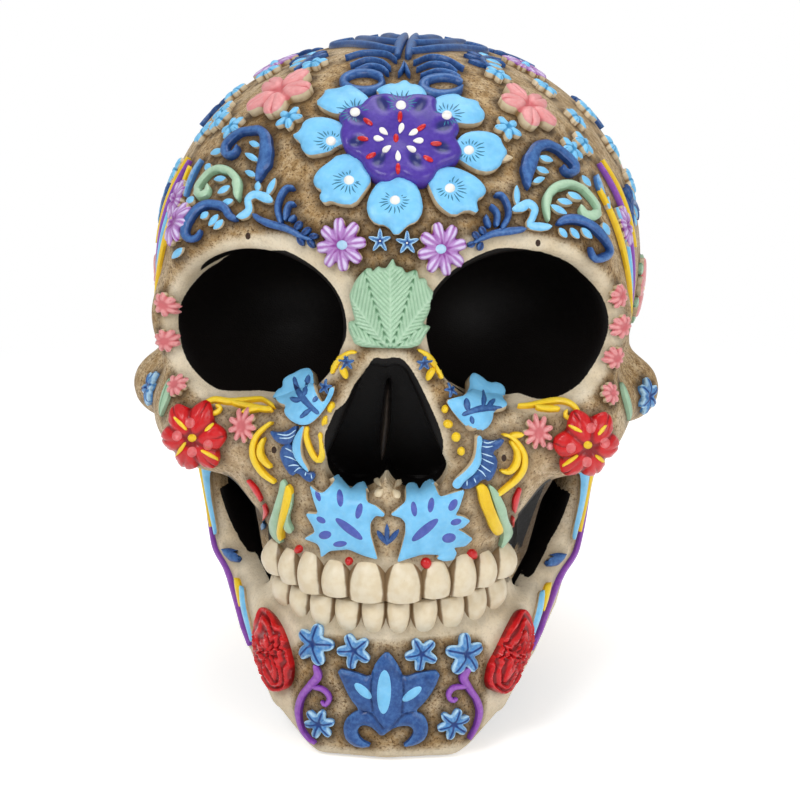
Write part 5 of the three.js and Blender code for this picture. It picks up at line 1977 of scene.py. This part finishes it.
# The raised ornament: the builder, which gives its name to the piece and to the node that it stands for, the
# paint and the slot
MIDDLE_ORNAMENT = (
    (forehead_petals, SKY, "sky_blue"),
    (forehead_rosette, VIOLET, "violet"),
    (nose_leaf, MINT, "mint"),
    (chin_lotus, DEEP, "deep_blue"),
)
SIDE_ORNAMENT = (
    (crown_scroll, DEEP, "deep_blue"),
    (brow_fern, DEEP, "deep_blue"),
    (mint_curl, MINT, "mint"),
    (brow_curl, DEEP, "deep_blue"),
    (brow_stem, DEEP, "deep_blue"),
    (sky_leaves, SKY, "sky_blue"),
    (pink_blossom, PINK, "pink"),
    (brow_daisy, LILAC, "lilac"),
    (cheek_blossom, SKY, "sky_blue"),
    (cheek_rose, RED, "red"),
    (cheek_scroll, YELLOW, "yellow"),
    (cheek_spray, DEEP, "deep_blue"),
    (gum_leaf, MINT, "mint"),
    (lip_leaf, SKY, "sky_blue"),
    (carnation, RED, "red"),
    (jaw_flower, MID, "sky_blue"),
    (chin_curl, PURPLE, "violet"),
)
# Ornament that stands for no node of its own
SMALL_ORNAMENT = (
    (small_flowers, SKY, "sky_blue"),
    (temple_daisies, LILAC, "lilac"),
    (small_blossoms, PINK, "pink"),
    (brow_stars, MID, "deep_blue"),
    (yellow_trim, YELLOW, "yellow"),
    (spray_crescents, SKY, "sky_blue"),
    (gum_cores, YELLOW, "yellow"),
    (arch_flowers, MID, "deep_blue"),
    (arch_leaves, MINT, "mint"),
)
GARDEN_BEDS = (
    ("sky", SKY, "sky_blue"),
    ("deep", DEEP, "deep_blue"),
    ("lilac", LILAC, "lilac"),
    ("pink", PINK, "pink"),
    ("yellow", YELLOW, "yellow"),
    ("mint", MINT, "mint"),
)


def built(rows):
    """Name, relief, paint and slot of ornament that is one piece for both sides."""
    return [(build.__name__, build(), paint, slot) for build, paint, slot in rows]


raised = built(MIDDLE_ORNAMENT)
for side, sign in SIDES:
    for build, paint, slot in SIDE_ORNAMENT:
        raised.append((f"{build.__name__}_{side}", build(side, sign), paint, slot))
raised += built(SMALL_ORNAMENT)
for name, paths, widths, height, paint, slot in SHEET_BANDS:
    raised.append((name, bands(Relief(), paths, widths, height), paint, slot))
for name, paths, tree, paint, slot in FLANK_BANDS:
    raised.append((name, flanks(paths, tree), paint, slot))
beds = garden(tree_of(*[relief.body() for _, relief, _, _ in raised]))
raised += [("garden_" + bed, beds[bed], paint, slot) for bed, paint, slot in GARDEN_BEDS]
bodies = [relief.body() for _, relief, _, _ in raised]
ornament_tree = tree_of(*bodies)
dressed_tree = tree_of(*bare_bone, *bodies)
for name, relief, paint, slot in raised:
    relief.finish(name + "_relief", paint, slot, (name,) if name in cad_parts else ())


# The thin bone in the nose opening
SEPTUM = ((389, 378), (388, 390), (387, 406), (385, 427), (383, 446))


def septum():
    return band(Relief(), SEPTUM, (5, 8, 10, 10, 6), 6.5, OnSheet(bone_tree), lanes=8, ridge=0.85)


# Painted details on the relief
on_dressed = OnSheet(dressed_tree)
chance = np.random.default_rng(3)
PETAL_LINE_COUNT = 15
PETAL_LINE_FAN = 2.3
PETAL_LINE_WIDTH = 1.4
SPRAY_LINE_WIDTH = 1.5
DROPS_MIDDLE = (397, 142)
DASHES_MIDDLE = (398, 143)
ROSETTE_BEAD = (396, 138)
BROW_BUD = ((499, 160), (511, 160))
LINE_FORM = {"step": 0.35, "lanes": 4, "ridge": 0.6}
INDIGO = paint_finish("indigo_paint", (76, 92, 178), (36, 56, 120), (122, 128, 204))
PALE_BLUE = paint_finish("pale_blue_paint", (176, 216, 244), (96, 156, 206), (236, 244, 250))


def petal_lines():
    """Short engraved lines that fan round the dot of each forehead petal."""
    relief = Relief()
    for dot in PETAL_DOTS:
        out = np.array(dot, float) - FLOWER_MIDDLE
        heading = math.atan2(out[1], out[0])
        for turn in np.linspace(-PETAL_LINE_FAN, PETAL_LINE_FAN, PETAL_LINE_COUNT):
            way = np.array((math.cos(heading + turn), math.sin(heading + turn) * 0.8))
            start = dot + way * (6.6 + 1.5 * chance.random())
            end = dot + way * (11.5 + 5.5 * chance.random() + 3.5 * math.cos(turn))
            middle = (start + end) / 2 + chance.uniform(-0.8, 0.8, 2)
            stroke(relief, (start, middle, end), PETAL_LINE_WIDTH, on_dressed)
    return relief


def spokes(relief, points, middle, inner, outer, width, height, **form):
    """Leaves through drawn points, along the rays from a middle."""
    for point in points:
        out = np.array(point, float) - middle
        out /= np.linalg.norm(out)
        base, tip = point - out * inner, point + out * outer
        leaf(relief, base, tip, width, height, on_dressed, step=0.25, **form)
    return relief


def white_details():
    relief = dots(Relief(), PETAL_DOTS, 5.2, 4.6, 0, 0.5, on_dressed)
    spokes(relief, ROSETTE_DROPS, DROPS_MIDDLE, 5.0, 5.5, 5.6, 0.4, belly=0.62, ends=0.5)
    return dots(relief, BROW_STARS, 1.1, 1.1, 0, 0.2, on_dressed)


def red_details():
    relief = spokes(Relief(), ROSETTE_DASHES, DASHES_MIDDLE, 5.5, 5.5, 4.6, 0.35, ends=0.4)
    oval(relief, ROSETTE_BEAD, 4.4, 2.8, 90, 0.4, on_dressed)
    for x, y, radius in GUM_DOTS:
        oval(relief, (x, y), radius, radius, 0, 1.3, on_dressed)
    return relief


def deep_details():
    """Branching veins of the cheek blossoms, the small stars beside them and the leaves below the nose."""
    relief = Relief()
    for side, _ in SIDES:
        for vein, width in zip(CHEEK_VEINS[side], CHEEK_VEIN_WIDTHS):
            widths = (3.0 * width, 5.4 * width, 3.0 * width)
            band(relief, vein, widths, 0.16, on_dressed, foot=0.2, **LINE_FORM)
    for point in CHEEK_STARS:
        star(relief, patch(point, dressed_tree), 2.2, 0.5)
    return leaves(relief, LIP_STAR, 5, 0.7, on_dressed, belly=0.55)


def indigo_details():
    return ovals(Relief(), LIP_OVALS, 0.2, on_dressed)


def sky_details():
    return ovals(Relief(), LOTUS_OVALS, 0.3, on_dressed)


def yellow_details():
    relief = bands(Relief(), ROSE_LINES, (2, 4, 2.4), 0.4, on_dressed, foot=0.3, **LINE_FORM)
    return dots(relief, ROSE_MIDDLES, 4.4, 4.0, 0, 0.6, on_dressed)


def blush_details():
    return dots(Relief(), ROSE_OVALS, 5.0, 5.4, 10, 0.5, on_dressed)


def pale_details():
    relief = dots(Relief(), DAISY.values(), 5.4, 4.8, 0, 0.5, on_dressed)
    for path in SPRAY_LINES:
        stroke(relief, path, SPRAY_LINE_WIDTH, on_dressed)
    return relief


def bone_petals():
    relief = leaves(Relief(), BONE_PETALS, 6.5, 0.9, belly=0.6)
    return leaf(relief, *BROW_BUD, 7, 1.6, belly=0.3)


# Pin holes are not cut in the bone: a thin dark oval over each is the painted shade inside the hole.
PIN_HOLES = ((248, 236), (538, 243), (274, 450), (504, 458))


def pin_hole_shades():
    return dots(Relief(), PIN_HOLES, 3.6, 2.6, 90, 0.12)


DETAILS = (
    (petal_lines, TEAL, "sky_blue"),
    (white_details, WHITE, "ivory"),
    (red_details, RED, "red"),
    (deep_details, DEEP, "deep_blue"),
    (indigo_details, INDIGO, "deep_blue"),
    (sky_details, SKY, "sky_blue"),
    (yellow_details, YELLOW, "yellow"),
    (blush_details, BLUSH, "red"),
    (pale_details, PALE_BLUE, "sky_blue"),
    (bone_petals, CAST, "bone"),
    (pin_hole_shades, HOLE_SHADE, "bone"),
    (septum, SATIN, "bone"),
)
for name, relief, paint, slot in built(DETAILS):
    relief.finish(name, paint, slot)


# Teeth
CROWN_CUTS = 15
CROWN_WIDENING = 1.36
LEAST_ARCH = 0.004
SIDE_SEAM_START = 0.6
SIDE_SEAM_WIDTH = 0.22
NECK_SEAM_START = 0.86
BITE_SEAM_WIDTH = 0.09
BITE_SEAM_SHARE = 0.7
CORNER_CUT = 0.78
CORNER_POWER = 3.2
BITE_WIDTH = 0.94
BITE_TAPER_HEIGHT = 0.3
NECK_RECESS = 0.86
CROWN_BULGE = 0.17


def crown_master(name, dome, round_off):
    """One tooth crown of unit size, from a cube that is divided, rounded and domed toward its neck."""
    bpy.ops.object.select_all(action="DESELECT")
    bpy.ops.mesh.primitive_cube_add(size=1)
    crown = bpy.context.active_object
    crown.name = name
    bpy.ops.object.mode_set(mode="EDIT")
    bpy.ops.mesh.select_all(action="SELECT")
    bpy.ops.mesh.subdivide(number_cuts=CROWN_CUTS)
    bpy.ops.transform.tosphere(value=round_off)
    bpy.ops.object.mode_set(mode="OBJECT")
    points = np.array([v.co[:] for v in crown.data.vertices])
    faces = [tuple(face.vertices) for face in crown.data.polygons]
    bpy.data.objects.remove(crown)
    points /= np.abs(points).max(0) * 2
    up = points[:, 2] + 0.5
    front = points[:, 1] < 0
    aside = np.abs(2 * points[:, 0])
    neck = np.clip((up - dome) / (1 - dome), 0, 1)
    arch = np.maximum(1 - neck ** 2, LEAST_ARCH) ** 0.5
    side_seam = ease((aside - SIDE_SEAM_START) / SIDE_SEAM_WIDTH)
    neck_seam = ease((up - NECK_SEAM_START) / (1 - NECK_SEAM_START))
    bite_seam = BITE_SEAM_SHARE * ease((BITE_SEAM_WIDTH - up) / BITE_SEAM_WIDTH)
    seam = np.maximum.reduce((side_seam, neck_seam, bite_seam))
    points[:, 1] *= np.where(front, 1 - CORNER_CUT * aside ** CORNER_POWER, 1)
    points[:, 0] *= arch * (BITE_WIDTH + (1 - BITE_WIDTH) * ease(up / BITE_TAPER_HEIGHT))
    points[:, 1] *= np.where(front, np.sqrt(1 - NECK_RECESS * neck ** 2), 1)
    points[:, 1] -= CROWN_BULGE * np.sin(math.pi * up) * (1 - (2 * points[:, 0]) ** 2)
    return points, faces, seam


UPPER_MASTER = crown_master("upper_crown", 0.3, 0.42)
LOWER_MASTER = crown_master("lower_crown", 0.2, 0.44)
UPPER_LIMITS = (
    (BITE_Z, 57.8), (BITE_Z + 0.7, 57.2), (BITE_Z, 58.2), (BITE_Z + 0.9, 57.0), (BITE_Z + 1.4, 56.6),
)
LOWER_LIMITS = ((35.0, 45.8), (34.8, 45.8), (34.4, 45.8), (34.8, 46.0), (35.6, 46.2))


def tooth(name, master, place, sign, limits, flip):
    """A crown of a master's shape between two heights, turned along the arch."""
    points, faces, seam = master
    x, y, turn, width = place
    low, high = limits
    body = points * (width * CROWN_WIDENING, TOOTH_DEPTH, high - low)
    if flip:
        body[:, 2] *= -1
        faces = [face[::-1] for face in faces]
    turn *= sign
    across, deep = body[:, 0].copy(), body[:, 1].copy()
    body[:, 0] = sign * x + across * math.cos(turn) - deep * math.sin(turn)
    body[:, 1] = y + across * math.sin(turn) + deep * math.cos(turn)
    body[:, 2] += (low + high) / 2
    piece = mesh_piece(name + "_crown", body, faces, {"seam": seam}, (TOOTH,))
    settle_piece(piece, (name,))
    teeth.append((body, faces))


teeth = []
for side, sign in SIDES:
    for n, place in enumerate(tooth_places(UPPER_WIDTHS, 0)):
        tooth(f"upper_tooth_{side}_{n + 1}", UPPER_MASTER, place, sign, UPPER_LIMITS[n], False)
    for n, place in enumerate(tooth_places(LOWER_WIDTHS, LOWER_INSET)):
        tooth(f"lower_tooth_{side}_{n + 1}", LOWER_MASTER, place, sign, LOWER_LIMITS[n], True)


# Paint on the bone: a brown wash in the fields between ornament, bare rims, and painted shade round the
# ornament and in the gaps beside the jaw
RIM_WASH = 0.12
NOSE_RIM_WASH = 0.25
CHEEK_TOP = 395
CHEEK_FADE = 30
HIDDEN_WASH = 0.85
HIDDEN_FRONT_Y = -40.0
HIDDEN_FADE = 16.0
BRANCH_WASH = 0.6
BRANCH_WASH_Z = 48.0
NEAR_LIMIT = 6.0
GAP_SHADE_START = 0.6
GAP_SHADE_SLOPE = 1.5


def wash_of(points, sheet, on_jaw):
    """How much brown wash a place takes, from 0 on bare rims to 1 in the fields."""
    if on_jaw:
        wash = RIM_WASH + 0.82 * ease(signed_gap(sheet, JAW_FIELD) / 2.0 + 0.5)
        wash = np.maximum(wash, BRANCH_WASH * ease((points[:, 2] - BRANCH_WASH_Z) / 16))
    else:
        wash = RIM_WASH + (1 - RIM_WASH) * ease((-rim_gap(sheet) - 3.2) / 2.2)
        nose = ease((-signed_gap(sheet, NOSE_OPENING) - 0.8) / 2.0)
        wash = np.minimum(wash, NOSE_RIM_WASH + (1 - NOSE_RIM_WASH) * nose)
        wash = np.minimum(wash, 1 - 0.72 * ease(signed_gap(sheet, GUM_FIELD) / 3.0))
        wash = wash * (1 - 0.35 * ease((sheet[:, 1] - CHEEK_TOP) / CHEEK_FADE))
    return wash + (HIDDEN_WASH - wash) * ease((points[:, 1] - HIDDEN_FRONT_Y) / HIDDEN_FADE)


def near_ornament(points):
    """Distance to the nearest ornament or tooth, up to a few millimetres."""
    trees = (ornament_tree, tree_of(*teeth))
    gaps = [[tree.find_nearest(Vector(p), NEAR_LIMIT)[3] for p in points] for tree in trees]
    return np.min([[NEAR_LIMIT if gap is None else gap for gap in row] for row in gaps], 0)


def bone_piece(name, points, faces, black, node, on_jaw):
    sheet = to_sheet(points)
    near = near_ornament(points)
    # In the gaps beside the jaw the near layer is cut down, so the bone there takes the dark brown painted
    # shade of a hollow.
    if not on_jaw:
        shade = GAP_SHADE_START - GAP_SHADE_SLOPE * black_of_gaps(points, sheet, GAP_SHADE_BACK_Y)
        near = np.minimum(near, np.maximum(shade, 0))
    layers = {"black": black, "wash": wash_of(points, sheet, on_jaw), "near": near}
    piece = mesh_piece(name, points, faces, layers, (BONE,))
    settle_piece(piece, (node,))


bone_piece("cranium_skin", cranium_points, cranium_faces, cranium_black, "cranium", False)
bone_piece("mandible_skin", jaw_points, jaw_faces, jaw_black, "mandible", True)


# Stage
FLOOR_SIZE = 8
FLOOR_GREY = (0.9, 0.9, 0.9, 1)
FLOOR_GLOW = 0.5
WHITE_LIGHT = (1, 1, 1, 1)
SHADOW_END = (0.12, 0.42)
LAMP_AIM = (0, -0.02, 0.09)
LAMPS = (
    ("key_light", (-0.55, -0.95, 1.05), 0.7, 8.6),
    ("fill_light", (0.85, -0.8, 0.55), 0.8, 4.6),
    ("top_light", (0.1, 0.35, 1.3), 0.9, 5.6),
)
WORLD_STRENGTH = 0.38
BACKDROP_STRENGTH = 1.0
SENSOR_WIDTH = 36


def stage():
    """A white floor that keeps the object's shadow."""
    f = Finish("studio_floor")
    path = f.node("ShaderNodeLightPath", out="Is Camera Ray")
    glossy = f.node("ShaderNodeLightPath", out="Is Glossy Ray")
    through = f.node("ShaderNodeLightPath", out="Is Transmission Ray")
    seen = path.highest(glossy).highest(through)
    diffuse = f.node("ShaderNodeBsdfDiffuse", None, {"Color": FLOOR_GREY})
    glow = f.node("ShaderNodeEmission", None, {"Color": WHITE_LIGHT, "Strength": FLOOR_GLOW})
    both = f.node("ShaderNodeAddShader", None, {0: diffuse, 1: glow})
    mixed = f.node("ShaderNodeMixShader", None, {0: seen, 1: diffuse, 2: both})
    reach = f.node("ShaderNodeVectorMath", {"operation": "LENGTH"}, {0: f.place}, out="Value")
    white = f.node("ShaderNodeEmission", None, {"Color": WHITE_LIGHT, "Strength": 1.0})
    outside = seen * f.step(reach, *SHADOW_END)
    clear = f.node("ShaderNodeMixShader", None, {0: outside, 1: mixed, 2: white})
    f.node("ShaderNodeOutputMaterial", None, {"Surface": clear})
    bpy.ops.object.select_all(action="DESELECT")
    bpy.ops.mesh.primitive_plane_add(size=FLOOR_SIZE)
    floor = bpy.context.active_object
    floor.name = "studio_floor"
    floor.data.materials.append(f.material)


def lamp(name, spot, size, power):
    data = bpy.data.lights.new(name, "AREA")
    data.shape = "DISK"
    data.size = size
    data.energy = power
    light = bpy.data.objects.new(name, data)
    light.location = spot
    light.rotation_euler = (Vector(LAMP_AIM) - Vector(spot)).to_track_quat("-Z", "Y").to_euler()
    bpy.context.scene.collection.objects.link(light)


def light_up():
    """Three lamps, and a world that is white to the camera and dimmer as a light."""
    for name, spot, size, power in LAMPS:
        lamp(name, spot, size, power)
    world = bpy.data.worlds.new("studio")
    bpy.context.scene.world = world
    world.use_nodes = True
    nodes, links = world.node_tree.nodes, world.node_tree.links
    seen = nodes.new("ShaderNodeLightPath").outputs["Is Camera Ray"]
    strength = nodes.new("ShaderNodeMapRange")
    strength.inputs["To Min"].default_value = WORLD_STRENGTH
    strength.inputs["To Max"].default_value = BACKDROP_STRENGTH
    links.new(seen, strength.inputs["Value"])
    nodes["Background"].inputs["Color"].default_value = WHITE_LIGHT
    links.new(strength.outputs["Result"], nodes["Background"].inputs["Strength"])


def stand_camera():
    data = bpy.data.cameras.new("camera")
    data.sensor_width = SENSOR_WIDTH
    data.lens = SENSOR_WIDTH * SHEET_REACH / SHEET_SIZE
    data.clip_start = 0.01
    camera = bpy.data.objects.new("camera", data)
    camera.location = EYE * MM
    camera.rotation_euler = Vector(EYE_BACK).to_track_quat("Z", "Y").to_euler()
    bpy.context.scene.collection.objects.link(camera)
    bpy.context.scene.camera = camera


stage()
light_up()
stand_camera()
bpy.context.scene.view_settings.view_transform = "Standard"
